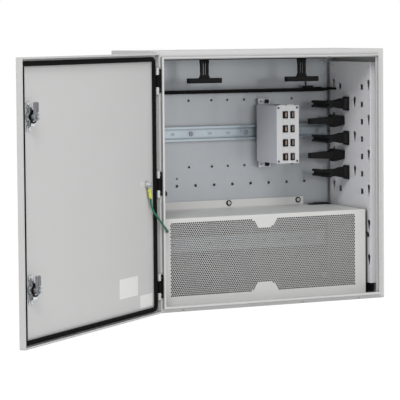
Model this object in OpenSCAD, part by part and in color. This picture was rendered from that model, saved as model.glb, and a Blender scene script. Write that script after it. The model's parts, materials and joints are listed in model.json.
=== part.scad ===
// Roadside utility cabinet, door open, in millimetres.
// X runs along the front, Y into the depth, Z up. The origin is the centre of the bottom face.

/* [Cabinet shell] */
// Overall width of the shell
cabinet_w = 600; // [560:1:700]
// Overall height of the shell
cabinet_h = 600; // [590:1:700]
// Depth of the shell behind the sealing lip
cabinet_d = 250; // [240:1:300]
// Thickness of the shell's sheet
sheet = 2; // [1.5:0.1:2.4]
// Width of the gutter below the sealing lip
gutter_w = 9.4; // [8:0.1:11]
// Width of the sealing lip along the sill
lip_w = 5.2; // [4:0.1:6]
// Width of the sealing lip at the sides and at the top
lip_t = 3; // [2.5:0.1:4]
// Height of the sealing lip above the gutter
lip_h = 7.5; // [7:0.1:8]
// Width of the flange inside the lip on the lock side
latch_flange_w = 3.8; // [3:0.1:6]
// Width of the flange inside the lip on the hinge side
hinge_flange_w = 1.5; // [1:0.1:2]
// Width of the folded frame on the hinge side
hinge_frame_w = 26; // [25:0.1:30]
// Width of the folded frame on the lock side
latch_frame_w = 20.5; // [18:0.1:24]
// Height of the drip apron above the opening
apron_h = 19.5; // [18:0.1:24]

/* [Door] */
// Opening angle of the door as it stands
door_angle = 141.3; // [0:0.1:150]
// Distance of the door's free edge from the shell's side
door_outset = 5; // [4:0.1:7]
// Distance of the door's upper edge below the top
door_drop = 5; // [4:0.1:8]
// Depth of the door pan
door_t = 13.4; // [13.2:0.1:15]
// Thickness of the door's sheet
door_sheet = 2; // [1.5:0.1:2.4]
// Gap between the door's rim and the shell
door_gap = 3.4; // [3.2:0.1:4]
// Height of the door's lower edge above the bottom
door_rise = 2; // [1.5:0.1:3]
// Distance of the door's hinge edge from the shell's side
door_inset = 3; // [2:0.1:4]
// Width of the rim's return fold
rim_return = 4; // [3:0.1:5]
// Width of the foam seal
seal_w = 11; // [9:0.1:12]

/* [Hinges] */
// Distance of the pivot from the door's hinge edge
pivot_inset = 3.5; // [3:0.1:4]
// Distance of the pivot behind the door's rim
pivot_depth = 5.6; // [5.4:0.1:5.7]
// Radius of a knuckle
knuckle_r = 4; // [3.8:0.1:4.6]
// Radius of a hinge pin
pin_r = 2; // [1.8:0.1:2.4]
// Height of the cabinet's knuckle
block_h = 27; // [20:0.5:34]
// Height of each of the door's knuckles
knuckle_h = 16; // [12:0.5:20]
// Height of the lowest hinge
hinge_first = 62; // [56:1:80]
// Distance of the highest hinge below the top
hinge_drop = 68; // [60:1:100]

/* [Locks] */
// Distance of a lock from the door's free edge
lock_edge = 40; // [37:0.5:44]
// Height of the lower lock
lock_first = 120; // [90:1:160]
// Distance of the upper lock below the top
lock_drop = 126; // [100:1:170]
// Reach of the cam from its axis
cam_reach = 30; // [27:0.5:33]
// Thickness of the cam
cam_t = 4; // [3:0.5:6]
// Radius of the lock's housing in the door
housing_r = 10; // [9:0.1:11]
// Radius of the turning core
core_r = 6; // [5:0.1:7]

/* [Mounting plate] */
// Length of the stand-offs behind the plate
standoff_l = 11; // [8:0.5:16]
// Thickness of the mounting plate
plate_t = 2; // [1.5:0.1:3]
// Gap between the plate and the inside of the side racks
plate_edge = 6; // [4:0.5:14]
// Pitch of the lower row of holes
plate_pitch = 49.5; // [40:0.5:60]

/* [Side racks] */
// Distance of the rack's face from the side wall
rack_offset = 20; // [16:0.5:26]
// Thickness of the rack's sheet
rack_t = 1.5; // [1:0.1:2]
// Distance of the rack's front fold behind the frame
rack_setback = 23; // [16:1:30]
// Lower end of the rack above the bottom
rack_rise = 33; // [20:1:60]
// Distance of the rack's upper end below the top
rack_drop = 33; // [20:1:60]
// Distance of the first row of holes below the top
rack_first = 94; // [80:1:110]
// Pitch of the rows
rack_pitch = 42.2; // [38:0.1:44]

/* [Rails] */
// Width of a rail over its lips
rail_w = 35; // [32:0.1:36]
// Height of a rail
rail_h = 7.5; // [7:0.1:15]
// Width of the rail's channel
rail_channel = 27; // [25:0.1:28]
// Thickness of the rail's sheet
rail_t = 1; // [0.8:0.1:1.5]
// How much shorter than the mounting plate a rail is
rail_short = 14; // [6:1:80]
// Distance of the upper rail below the top
rail_upper_drop = 204; // [190:1:230]
// Height of the lower rail as a share of the cover's height
rail_lower_share = 0.6; // [0.45:0.01:0.7]
// Pitch of the rail's slots
rail_pitch = 49.2; // [40:0.1:60]

/* [Module] */
// Width of the module
module_w = 60; // [50:1:70]
// Height of the module
module_h = 139; // [130:1:150]
// Depth of the module's case
module_d = 107; // [80:1:115]
// Distance of the module from the right rack
module_gap = 148; // [128:1:190]
// Distance of the module's middle below the rail
module_drop = 2; // [0:0.5:6]
// Height of a port
port_h = 17; // [12:0.5:20]
// Pitch of the rows of ports
port_pitch = 33.8; // [28:0.1:34]

/* [Cable guides] */
// Length of a guide's cross-bar
guide_bar = 84; // [70:1:100]
// Thickness of a guide's cross-bar
guide_bar_t = 12; // [10:0.5:14]
// Height of a guide's stem
guide_stem = 64; // [56:1:66]
// Distance of a roof guide from the middle
roof_guide_x = 128.5; // [100:0.5:140]
// Reach of a cable finger
finger_l = 93; // [80:1:100]

/* [Cover] */
// Height left free above the lower compartment's cover
upper_space = 388; // [375:1:400]
// Gap between the cover's ends and the side racks
cover_edge = 8; // [5:0.5:16]
// Thickness of the cover's sheet
cover_t = 1.5; // [1:0.1:2]
// Distance of the cover's face behind the frame
cover_setback = 35; // [32:1:50]
// Height of the cover's back flange
cover_flange = 20; // [16:1:26]
// How far the back flange stops short of the cover's ends
cover_flange_inset = 67; // [40:1:90]
// Radius of a perforation
cover_hole_r = 8; // [4:0.5:9]
// Pitch of the perforations
cover_pitch = 28; // [26:0.5:40]

/* [Hidden] */
$fn = 48;
fit = 0.05;

// Colours
enclosure_grey = [0.80, 0.80, 0.79];
cover_grey = [0.76, 0.75, 0.72];
rack_grey = [0.72, 0.72, 0.73];
plate_grey = [0.58, 0.61, 0.64];
zinc = [0.66, 0.70, 0.74];
steel = [0.70, 0.70, 0.70];
black = [0.05, 0.05, 0.055];
case_grey = [0.74, 0.74, 0.75];
front_white = [0.88, 0.88, 0.88];
contact_brown = [0.36, 0.25, 0.19];

// Shell
side = cabinet_w / 2;
front = -cabinet_d / 2;
lip_front = front - lip_h;
frame_back = front + sheet;
back_in = cabinet_d / 2 - sheet;
side_in = side - sheet;
top_in = cabinet_h - sheet;
sill = gutter_w + lip_w;
open_left = -side + hinge_frame_w;
lip_left = open_left - hinge_flange_w;
lip_hinge_t = lip_t + 1.5;
open_right = side - latch_frame_w;
lip_right = open_right + latch_flange_w;
open_top = cabinet_h - apron_h;
lip_top = open_top + 2.5;
drain_x = [-side * 0.765, side * 0.264, side * 0.767];
drain_w = 4;
drain_h = 5;
drain_l = 12;
gland_half = side - 90;
gland_y = cabinet_d / 2 - 65;
gland_depth = 70;
gland_lap = 12;
gland_seal_t = 2;
gland_plate_t = 2;
gland_screw_x = gland_half + gland_lap / 2;
cable_entry_r = 16;
cable_entry_pitch = 120;
wall_hole_r = 4.5;
wall_hole_x = side - 60;
wall_hole_z = cabinet_h / 2 - 50;

// Door, as it stands when closed
rim_y = front - door_gap;
skin_out = rim_y - door_t;
skin_in = skin_out + door_sheet;
door_left = -side + door_inset;
door_right = side - door_outset;
door_top = cabinet_h - door_drop;
pivot_x = door_left + pivot_inset;
pivot_y = rim_y - pivot_depth;
seal_gap = 0.5;
seal_left = open_left - seal_w;
seal_right = door_right - rim_return - seal_gap;
seal_bottom = door_rise + rim_return + seal_gap;
seal_top = door_top - rim_return - seal_gap;
seal_front = lip_front - 0.2;
knuckle_gap = 0.5;
hinge_pitch = (cabinet_h - hinge_drop - hinge_first) / 2;
hinge_h = block_h + 2 * (knuckle_h + knuckle_gap);
notch_margin = 2;
leaf_w = seal_left - pivot_x - 1;
leaf_t = 2;
arm_from = 1;
hinge_plate_w = 12;
hinge_plate_x = pivot_x + arm_from;
hinge_screw_x = hinge_plate_x + hinge_plate_w / 2;
hinge_plate_t = 2.5;
hinge_plate_h = 53;
arm_t = 3;
hinge_screw_z = 20;

// Locks, measured from the inside of the door's skin
lock_x = door_right - lock_edge;
lock_pitch = cabinet_h - lock_drop - lock_first;
cam_low = frame_back + 1 - skin_in;
bracket_l = 58;
bracket_w = 15;
bracket_eye = 3;
bracket_t = 2;
bracket_rise = 10;
bracket_top = 17;
bracket_screw = 25;
lock_screw_head_r = 3.5;
ring_t = 2.5;
housing_flange_r = 14;
housing_flange_t = 2.5;
cam_square = 8;
cam_nut_h = 4;
core_end = cam_low + cam_t + cam_nut_h + 1;

// Earth connection
earth_x = door_left + 49;
lug_tilt = 16.2;
earth_z = hinge_first + hinge_pitch + 2;
earth_stud_r = 3;
lug_t = 2;
lug_lift = 4;
lug_z = 8.3;
sleeve_r = 4;
sleeve_l = 24;
lead_r = 2.25;
// Route of the lead: X and Y from the hinge's pivot, Z as a share of the way up from its hole to the sleeve
lead_route = [
    [-28.9661, -22.1812, 0.99944], [-27.2351, -20.7944, 0.9096], [-26, -20.6, 0.81], [-24, -21.6, 0.72],
    [-20.8, -23, 0.62],
    [-16.2, -23.8, 0.54], [-10.5, -23, 0.46], [-4.5, -19, 0.38], [1.5, -15, 0.31], [6.9, -11.4, 0.245],
    [11.8, -7.6, 0.185], [16.3, -6, 0.131], [21.4, 1.1, 0.083], [29.1, 14.8, 0.049], [36.7, 31.2, 0.012],
    [41.5, 44, 0], [41.5, 54, 0]
];

// Mounting plate and what it carries
plate_back = back_in - standoff_l;
plate_y = plate_back - plate_t;
rack_face = side_in - rack_offset;
plate_half = rack_face - plate_edge;
plate_low = 20;
plate_top = cabinet_h - 10;
stud_x = plate_half - 12;
stud_low = plate_low + 12;
stud_high = cabinet_h - 16.5;
stud_r = 4;
plate_columns = [-107, -46, -3, 42, 173];
plate_rows = [cabinet_h - 123.5, cabinet_h - 285];
plate_hole_r = 3;
row_first = -139.5;
row_count = 8;
row_z = cabinet_h - 330;
row_hole_r = 3.6;
side_hole = [-172, cabinet_h - 347];
spare_hole = [-139.5, cabinet_h - 312];
side_hole_r = 7;
spare_hole_r = 2.4;

// Side racks
rack_front = frame_back + rack_setback;
rack_back = plate_y - 4;
rack_low = rack_rise;
rack_high = cabinet_h - rack_drop;
rack_row_z = cabinet_h - rack_first;
rack_end = 20;
rack_rows = floor((rack_row_z - rack_low - rack_end) / rack_pitch) + 1;
square_rows = 7;
square_w = 14;
square_h = 13;
square_front = rack_front + 42.5;
square_back = rack_front + 152;
key_front = rack_front + 9;
key_middle = rack_front + 78.5;
key_back = rack_front + 185;
key_r = 6.8;
key_tip_r = 2.5;
key_l = 27;
key_lift = 5;
pin_hole_r = 1.6;
pin_hole_y = rack_front + 7.5;
pin_hole_drops = [29.4, 56.5, 95.8];
corner_holes = [[9, 10.5], [22.5, 35]];

// Cover
cover_h = cabinet_h - upper_space;
cover_half = rack_face - cover_edge;
cover_flange_half = cover_half - cover_flange_inset;
cover_y = frame_back + cover_setback;
field_margin = 26;
field_rise = 29;
field_drop = 12;
field_half = cover_half - field_margin;
field_low = sheet + field_rise;
field_high = cover_h - field_drop;
tab_half = 33;
upper_tab_h = 24;
lower_tab_h = 20;
cover_return = 16;
cover_screw_x = -2;
cover_screw_pitch = cover_flange_half - 13;
cover_screw_z = cover_h + cover_flange * 0.6;
washer_r = 6.5;
washer_t = 1.5;
grommet_x = cover_half - 30;
grommet_y = plate_y - 17.5;
grommet_half = 19;
grommet_r = 14;
grommet_neck_r = 10.5;
grommet_rise = 5;
grommet_wall = 2;
grommet_web = 1;
grommet_gap = 0.2;
lead_hole_x = 18 - cover_half;
lead_hole_z = cover_h - 29;

// Cable hook
hook_t = 2.4;
hook_drop = 11;
hook_reach = rack_face - cover_half - 1;

// Rails
rail_l = 2 * plate_half - rail_short;
rail_upper_z = cabinet_h - rail_upper_drop;
rail_lower_z = cover_h * rail_lower_share;
rail_end = 15;
rail_last = floor((rail_l / 2 - rail_end) / rail_pitch);
rail_x = -3;
rail_slot_l = 10;
rail_slot_w = 5.5;
rail_screws = [-2, 1, rail_last];
screw_r = 2;
screw_head_r = 5;
screw_head_h = 2.6;

// Module
module_x = rack_face - module_gap - module_w;
module_back = plate_y - rail_h - 5.5;
module_front_y = module_back - module_d;
module_low = rail_upper_z - module_drop - module_h / 2;
module_top = module_low + module_h;
front_t = 2;
port_rows = 4;
port_columns = [[16.5, 13.4], [37, 10.7]];
port_first = 22;
port_depth = 4;
tab_x = 4;
tab_w = 33;
tab_h = 15;
tab_t = 2;
module_screw_inset = 5;
module_screw_r = 1;

// Guides and shelf
guide_foot_u = 26;
guide_foot_v = 34;
guide_foot_t = 4;
guide_width = 17;
roof_stem_d = 6;
guide_stem_w = 21;
guide_slot_w = 6;
guide_slot_x = 4;
guide_slot_z = 14;
guide_flare = 8;
guide_knee_z = 16;
guide_waist_z = 34;
guide_groove_w = 6;
guide_groove_h = 5;
guide_chamfer = 2;
roof_guide_y = -31;
wall_guide_y = 18;
finger_y = 40;
finger_half = 12;
finger_tip = 7;
collar_low = 26;
collar_high = 31;
collar_end = 33;
collar_half = 15.5;
shelf_z = cabinet_h - 98;
clip_x = rack_face - 83;
clip_head = 22;
clip_tail = 24;
clip_finger = [3, 3, 10];
shelf_end = 34;
shelf_end_lip = 5;
shelf_depth = 38;
shelf_lip = 8;
shelf_t = 2;

// Helpers

// A box given by its two corners
module block(low, high) {
    translate(low) cube(high - low);
}

// A plate in the XZ plane with its lower face at Y = 0, drawn as seen from the front
module upright(thickness) {
    translate([0, thickness, 0]) rotate([90, 0, 0]) linear_extrude(thickness) children();
}

// A hole or a shaft along Y from one depth to another
module along_y(x, z, r, from, to) {
    translate([x, to, z]) rotate([90, 0, 0]) cylinder(r = r, h = to - from);
}

// A pan-head screw that stands on Z = 0 with its shank below
module pan_screw(head_r, head_h, shank_r, shank_l) {
    difference() {
        union() {
            cylinder(r = head_r, h = head_h * 0.6);
            translate([0, 0, head_h * 0.6]) cylinder(r1 = head_r, r2 = head_r * 0.75, h = head_h * 0.4);
            translate([0, 0, -shank_l]) cylinder(r = shank_r, h = shank_l);
        }
        translate([-head_r * 0.6, -head_r * 0.1, head_h * 0.5]) cube([head_r * 1.2, head_r * 0.2, head_h]);
        translate([-head_r * 0.1, -head_r * 0.6, head_h * 0.5]) cube([head_r * 0.2, head_r * 1.2, head_h]);
    }
}

// A hexagon nut on Z = 0
module hex_nut(r, h, bore_r) {
    difference() {
        cylinder(r = r, h = h, $fn = 6);
        translate([0, 0, -1]) cylinder(r = bore_r, h = h + 2);
    }
}

// Puts a piece that is modelled on the closed door where the open door carries it
module on_open_door() {
    translate([pivot_x, pivot_y, 0])
        rotate([0, 0, -door_angle])
            translate([-pivot_x, -pivot_y, 0]) children();
}

// Frame of a lock: Z points into the cabinet from the door's skin, and -Y points up
module at_lock(index) {
    on_open_door()
        translate([lock_x, skin_in, lock_first + index * lock_pitch])
            rotate([-90, 0, 0]) children();
}

// Frame of a piece on the right rack: Z points away from the rack, and X runs into the depth
module on_rack(y, row) {
    translate([rack_face, y, rack_row_z - row * rack_pitch])
        rotate([0, -90, 0]) rotate([0, 0, 90]) children();
}

// Cabinet shell

module sealing_lip() {
    difference() {
        block([lip_left - lip_hinge_t, lip_front, gutter_w], [lip_right + lip_t, frame_back, lip_top + lip_t]);
        block([lip_left, lip_front - 1, sill], [lip_right, frame_back + 1, lip_top]);
    }
}

module cabinet_shell() {
    color(enclosure_grey)
    difference() {
        union() {
            difference() {
                block([-side, front, 0], [side, cabinet_d / 2, cabinet_h]);
                block([-side_in, frame_back, sheet], [side_in, back_in, top_in]);
                block([open_left, front - 1, sill], [open_right, frame_back + 1, open_top]);
            }
            sealing_lip();
        }
        for (x = drain_x)
            block([x - drain_w / 2, front - 1, -1], [x + drain_w / 2, front + drain_l, drain_h]);
        block([-gland_half, gland_y - gland_depth / 2, -1],
            [gland_half, gland_y + gland_depth / 2, sheet + 1]);
        for (x = [-1, 1], z = [-1, 1])
            along_y(x * wall_hole_x, cabinet_h / 2 + z * wall_hole_z, wall_hole_r,
                back_in - 1, cabinet_d / 2 + 1);
        for (x = [-1, 0, 1], y = [-1, 1])
            translate([x * gland_screw_x, gland_y + y * (gland_depth + gland_lap) / 2, -1])
                cylinder(r = screw_r + fit, h = sheet + 2);
        for (i = [0:2], z = [-1, 1])
            along_y(hinge_screw_x, hinge_first + i * hinge_pitch + z * hinge_screw_z,
                screw_r + fit, front - 1, frame_back + 1);
    }
}

module gland_ring(low, high, inner) {
    difference() {
        block([-gland_half - gland_lap, gland_y - gland_depth / 2 - gland_lap, low],
            [gland_half + gland_lap, gland_y + gland_depth / 2 + gland_lap, high]);
        if (inner)
            block([-gland_half, gland_y - gland_depth / 2, low - 1],
                [gland_half, gland_y + gland_depth / 2, high + 1]);
        for (x = [-1, 0, 1], y = [-1, 1])
            translate([x * gland_screw_x, gland_y + y * (gland_depth + gland_lap) / 2, low - 1])
                cylinder(r = screw_r + fit, h = high - low + 2);
    }
}

module gland_seal() {
    color(black) gland_ring(sheet, sheet + gland_seal_t, true);
}

module gland_plate() {
    low = sheet + gland_seal_t;
    color(zinc)
    difference() {
        gland_ring(low, low + gland_plate_t, false);
        for (x = [-1:1])
            translate([x * cable_entry_pitch, gland_y, low - 1])
                cylinder(r = cable_entry_r, h = gland_plate_t + 2);
    }
}

module gland_screws() {
    top = sheet + gland_seal_t + gland_plate_t;
    color(steel)
    for (x = [-1, 0, 1], y = [-1, 1])
        translate([x * gland_screw_x, gland_y + y * (gland_depth + gland_lap) / 2, top])
            pan_screw(screw_head_r, screw_head_h, screw_r, top - 0.5);
}

// Mounting plate

module mounting_plate() {
    color(plate_grey)
    difference() {
        block([-plate_half, plate_y, plate_low], [plate_half, plate_back, plate_top]);
        for (x = [-1, 1], z = [stud_low, stud_high])
            along_y(x * stud_x, z, stud_r + fit, plate_y - 1, plate_back + 1);
        for (x = plate_columns, z = plate_rows) along_y(x, z, plate_hole_r, plate_y - 1, plate_back + 1);
        for (i = [0:row_count - 1])
            along_y(row_first + i * plate_pitch, row_z, row_hole_r, plate_y - 1, plate_back + 1);
        along_y(side_hole[0], side_hole[1], side_hole_r, plate_y - 1, plate_back + 1);
        along_y(spare_hole[0], spare_hole[1], spare_hole_r, plate_y - 1, plate_back + 1);
        for (i = rail_screws, z = [rail_upper_z, rail_lower_z])
            along_y(rail_x + i * rail_pitch, z, screw_r + fit, plate_y - 1, plate_back + 1);
        for (i = [-1:1])
            along_y(cover_screw_x + i * cover_screw_pitch, cover_screw_z, screw_r + fit,
                plate_y - 1, plate_back + 1);
    }
}

module plate_standoffs() {
    color(zinc)
    for (x = [-1, 1], z = [stud_low, stud_high]) {
        along_y(x * stud_x, z, stud_r * 1.8, plate_back, back_in);
        along_y(x * stud_x, z, stud_r, plate_y - 8, plate_back);
    }
}

module plate_nuts() {
    color(zinc)
    for (x = [-1, 1], z = [stud_low, stud_high])
        translate([x * stud_x, plate_y, z]) rotate([90, 0, 0]) hex_nut(stud_r * 1.85, 6, stud_r + fit);
}

// Side racks

module key_slot_2d() {
    hull() {
        translate([0, key_l / 2 - key_r]) circle(r = key_r);
        translate([0, key_tip_r - key_l / 2]) circle(r = key_tip_r);
    }
}

module rack_holes_2d() {
    for (row = [0:rack_rows - 1]) {
        z = rack_row_z - row * rack_pitch;
        even = row % 2 == 0;
        if (row < square_rows)
            for (y = [square_front, square_back])
                translate([y - square_w / 2, z - square_h / 2]) square([square_w, square_h]);
        if (even) translate([key_front, z + key_lift]) key_slot_2d();
        if (even && row < square_rows) translate([key_back, z + key_lift]) key_slot_2d();
        if (!even && row < square_rows) translate([key_middle, z + key_lift]) key_slot_2d();
        if (even && row < square_rows - 2)
            for (drop = pin_hole_drops) translate([pin_hole_y, z - drop]) circle(r = pin_hole_r);
    }
    for (hole = corner_holes) {
        translate([rack_front + hole[0], rack_high - hole[1]]) circle(r = pin_hole_r);
        translate([rack_back - hole[0] - 7.5, rack_high - hole[1]]) circle(r = pin_hole_r);
    }
}

// The right rack: a channel whose folds stand on the side wall
module rack() {
    difference() {
        union() {
            block([rack_face, rack_front, rack_low], [rack_face + rack_t, rack_back, rack_high]);
            block([rack_face, rack_front, rack_low], [side_in, rack_front + rack_t, rack_high]);
            block([rack_face, rack_back - rack_t, rack_low], [side_in, rack_back, rack_high]);
        }
        translate([rack_face - 1, 0, 0]) rotate([90, 0, 90]) linear_extrude(rack_t + 2) rack_holes_2d();
    }
}

module side_rack_right() {
    color(rack_grey) rack();
}

module side_rack_left() {
    color(rack_grey) mirror([1, 0, 0]) rack();
}

module cable_hook() {
    color(black)
    translate([rack_face, square_front - 31, rack_row_z - 8.3 * rack_pitch]) {
        block([-hook_reach, -hook_t / 2, -hook_t], [0, hook_t / 2, 0]);
        block([-hook_reach, -hook_t / 2, -hook_t], [hook_t - hook_reach, hook_t / 2, hook_t]);
        block([-hook_t, -3 * hook_t / 2, -hook_drop], [0, hook_t / 2, -hook_t]);
    }
}

// Rails

module rail(z) {
    half = rail_w / 2;
    channel = rail_channel / 2;
    top = plate_y - rail_h;
    color(zinc)
    difference() {
        translate([rail_x - rail_l / 2, 0, z]) rotate([90, 0, 90]) linear_extrude(rail_l)
            polygon([
                [top, half], [top, channel - rail_t], [plate_y - rail_t, channel - rail_t],
                [plate_y - rail_t, rail_t - channel], [top, rail_t - channel], [top, -half],
                [top + rail_t, -half], [top + rail_t, -channel], [plate_y, -channel],
                [plate_y, channel], [top + rail_t, channel], [top + rail_t, half]
            ]);
        for (i = [-rail_last:rail_last])
            if (len(search(i, rail_screws)) > 0)
                along_y(rail_x + i * rail_pitch, z, screw_r + fit, plate_y - rail_t - 1, plate_y + 1);
            else
                translate([rail_x + i * rail_pitch, plate_y - rail_t - 1, z]) upright(rail_t + 2) {
                    square([rail_slot_l - rail_slot_w, rail_slot_w], center = true);
                    for (s = [-1, 1])
                        translate([s * (rail_slot_l - rail_slot_w) / 2, 0]) circle(d = rail_slot_w);
                }
    }
}

module din_rail_upper() {
    rail(rail_upper_z);
}

module din_rail_lower() {
    rail(rail_lower_z);
}

module rail_screws() {
    color(steel)
    for (i = rail_screws, z = [rail_upper_z, rail_lower_z])
        translate([rail_x + i * rail_pitch, plate_y - rail_t, z]) rotate([90, 0, 0])
            pan_screw(screw_head_r, screw_head_h, screw_r, rail_t + plate_t);
}

// Shelf

module lacing_shelf() {
    low = plate_y - shelf_depth;
    color(black) {
        block([-rack_face, low, shelf_z - shelf_t], [rack_face, plate_y, shelf_z]);
        block([-rack_face, low, shelf_z - shelf_end_lip], [rack_face, low + shelf_t, shelf_z - shelf_t]);
        block([shelf_end - rack_face, low, shelf_z - shelf_lip],
            [rack_face - shelf_end, low + shelf_t, shelf_z - shelf_t]);
        block([-plate_half, plate_y - shelf_t, shelf_z - shelf_lip],
            [plate_half, plate_y, shelf_z - shelf_t]);
    }
}

module shelf_clip() {
    low = plate_y - shelf_depth + 6;
    color(black) {
        block([clip_x, low, shelf_z], [clip_x + clip_head, low + 14, shelf_z + 6]);
        block([clip_x + clip_head, low, shelf_z],
            [clip_x + clip_head + clip_tail, low + 14, shelf_z + 2.5]);
        translate([clip_x, low, shelf_z + 6]) cube(clip_finger);
    }
}

// Cable guides: the foot stands on Z = 0, and the cross-bar runs along X

module guide(stem_depth) {
    shoulder = guide_stem - guide_flare;
    groove = guide_groove_w / 2;
    half = guide_stem_w / 2;
    wide = guide_width / 2;
    thick = stem_depth / 2;
    difference() {
        union() {
            block([-guide_foot_u / 2, -guide_foot_v / 2, 0],
                [guide_foot_u / 2, guide_foot_v / 2, guide_foot_t]);
            intersection() {
                translate([0, guide_foot_v / 2, 0]) rotate([90, 0, 0]) linear_extrude(guide_foot_v)
                    polygon([
                        [-half - 2, guide_foot_t], [half + 2, guide_foot_t],
                        [half, guide_foot_t + guide_flare], [half, shoulder], [half + 3, guide_stem],
                        [-half - 3, guide_stem], [-half, shoulder], [-half, guide_foot_t + guide_flare]
                    ]);
                translate([-guide_foot_u, 0, 0]) rotate([90, 0, 90]) linear_extrude(2 * guide_foot_u)
                    polygon([
                        [-thick - 5, guide_foot_t], [thick + 5, guide_foot_t], [thick + 4, guide_knee_z],
                        [thick, guide_waist_z], [thick, guide_stem], [-thick, guide_stem],
                        [-thick, guide_waist_z], [-thick - 4, guide_knee_z]
                    ]);
            }
            translate([-guide_bar / 2, 0, guide_stem]) rotate([90, 0, 90]) linear_extrude(guide_bar)
                polygon([
                    [-wide, 0], [wide, 0], [wide, guide_bar_t - guide_chamfer],
                    [wide - guide_chamfer, guide_bar_t], [groove, guide_bar_t],
                    [groove, guide_bar_t - guide_groove_h], [-groove, guide_bar_t - guide_groove_h],
                    [-groove, guide_bar_t], [guide_chamfer - wide, guide_bar_t],
                    [-wide, guide_bar_t - guide_chamfer]
                ]);
        }
        for (s = [-1, 1])
            block([s * guide_slot_x - guide_slot_w / 2, -guide_foot_v, guide_slot_z],
                [s * guide_slot_x + guide_slot_w / 2, guide_foot_v, shoulder]);
    }
}

module roof_guide(sign) {
    color(black)
    translate([sign * roof_guide_x, roof_guide_y, top_in])
        rotate([180, 0, 0]) guide(roof_stem_d);
}

module wall_guide(row) {
    color(black) on_rack(wall_guide_y, row) guide(guide_width);
}

// A cable finger: a collar keeps the cables off the rack, and the finger tapers to its end
module wall_finger(row) {
    color(black) on_rack(finger_y, row)
    intersection() {
        translate([0, 20, 0]) rotate([90, 0, 0]) linear_extrude(40)
            polygon([
                [-finger_half, 0], [finger_half, 0], [finger_half, collar_end], [finger_tip, finger_l],
                [-finger_tip, finger_l], [-finger_half, collar_end]
            ]);
        translate([-20, 0, 0]) rotate([90, 0, 90]) linear_extrude(40)
            polygon([
                [-10, 0], [10, 0], [collar_half, collar_low], [collar_half, collar_high], [9.5, collar_end],
                [6.5, finger_l], [-6.5, finger_l], [-9.5, collar_end], [-collar_half, collar_high],
                [-collar_half, collar_low]
            ]);
    }
}

module roof_guide_left() {
    roof_guide(-1);
}

module roof_guide_right() {
    roof_guide(1);
}

module wall_guide_top() {
    wall_guide(1);
}

module wall_guide_middle() {
    wall_guide(3);
}

module wall_guide_bottom() {
    wall_guide(5);
}

module wall_finger_upper() {
    wall_finger(2);
}

module wall_finger_lower() {
    wall_finger(4);
}

// Module on the upper rail

module module_tab(z) {
    difference() {
        block([module_x + tab_x, module_back - tab_t, z], [module_x + tab_x + tab_w, module_back, z + tab_h]);
        along_y(module_x + tab_x + 7, z + tab_h / 2, 2.5, module_back - tab_t - 1, module_back + 1);
    }
}

module module_case() {
    color(case_grey) {
        block([module_x, module_front_y, module_low], [module_x + module_w, module_back, module_top]);
        module_tab(module_top);
        module_tab(module_low - tab_h);
    }
}

// Calls its children at each port's lower left corner, with the column's width in $port_w
module each_port() {
    for (column = port_columns, row = [0:port_rows - 1]) {
        $port_w = column[1];
        z = module_top - port_first - port_h / 2 - row * port_pitch;
        translate([module_x + column[0], module_front_y, z]) children();
    }
}

module module_screw_places() {
    inset = module_screw_inset;
    for (x = [inset, module_w - inset], z = [inset, module_h - inset])
        translate([module_x + x, module_front_y - front_t, module_low + z]) rotate([90, 0, 0]) children();
}

module module_front() {
    color(front_white)
    difference() {
        block([module_x, module_front_y - front_t, module_low],
            [module_x + module_w, module_front_y, module_top]);
        each_port() block([0, -front_t - 1, 0], [$port_w, 1, port_h]);
        module_screw_places()
            translate([0, 0, -front_t - 1]) cylinder(r = module_screw_r + fit, h = front_t + 2);
    }
}

module module_ports() {
    color(black)
    each_port()
    difference() {
        block([fit, -port_depth, fit], [$port_w - fit, 0, port_h - fit]);
        block([1.5, -port_depth - 1, 1.5], [$port_w - 1.5, -1, port_h - 1.5]);
    }
}

module module_contacts() {
    color(contact_brown)
    each_port() block([$port_w * 0.5, -3, 3], [$port_w - 2.5, -1, port_h - 3]);
}

module module_screws() {
    color(steel) module_screw_places() pan_screw(2.6, 1.4, module_screw_r, front_t);
}

module module_clips() {
    color(black)
    for (z = [module_top + 3, module_low - tab_h + 3])
        block([module_x + tab_x + 17, module_back - tab_t - 4, z],
            [module_x + tab_x + 27, module_back - tab_t, z + 9]);
}

// Hooks over the rail's lips behind the module
module module_rail_clip() {
    half = rail_w / 2;
    lip_front = plate_y - rail_h;
    lip_back = lip_front + rail_t;
    color(black)
    translate([module_x + 10, 0, rail_upper_z]) rotate([90, 0, 90]) linear_extrude(module_w - 20)
        polygon([
            [module_back, half + 6], [module_back, -half - 6], [lip_back + 2.2, -half - 6],
            [lip_back + 2.2, 2.5 - half], [lip_back + 0.2, 2.5 - half], [lip_back + 0.2, -half - 0.3],
            [lip_front, -half - 0.3],
            [lip_front, half + 0.3], [lip_back + 0.2, half + 0.3], [lip_back + 0.2, half - 2.5],
            [lip_back + 2.2, half - 2.5], [lip_back + 2.2, half + 6]
        ]);
}

// Cover of the lower compartment

// True where a perforation would cut a plain tab or the field's border
function in_tab(x, z) =
    abs(x) < tab_half + cover_hole_r
        && (z > field_high - upper_tab_h - cover_hole_r || z < field_low + lower_tab_h + cover_hole_r);

module cover_field_2d() {
    rise = cover_pitch * sin(60);
    columns = floor((field_half - cover_hole_r - cover_pitch / 4) / cover_pitch);
    rows = floor((field_high - field_low - 2 * cover_hole_r) / rise);
    for (row = [0:rows], column = [-columns:columns]) {
        x = column * cover_pitch + (row % 2 - 0.5) * cover_pitch / 2;
        z = field_low + cover_hole_r + row * rise;
        if (!in_tab(x, z)) translate([x, z]) circle(r = cover_hole_r);
    }
}

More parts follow.
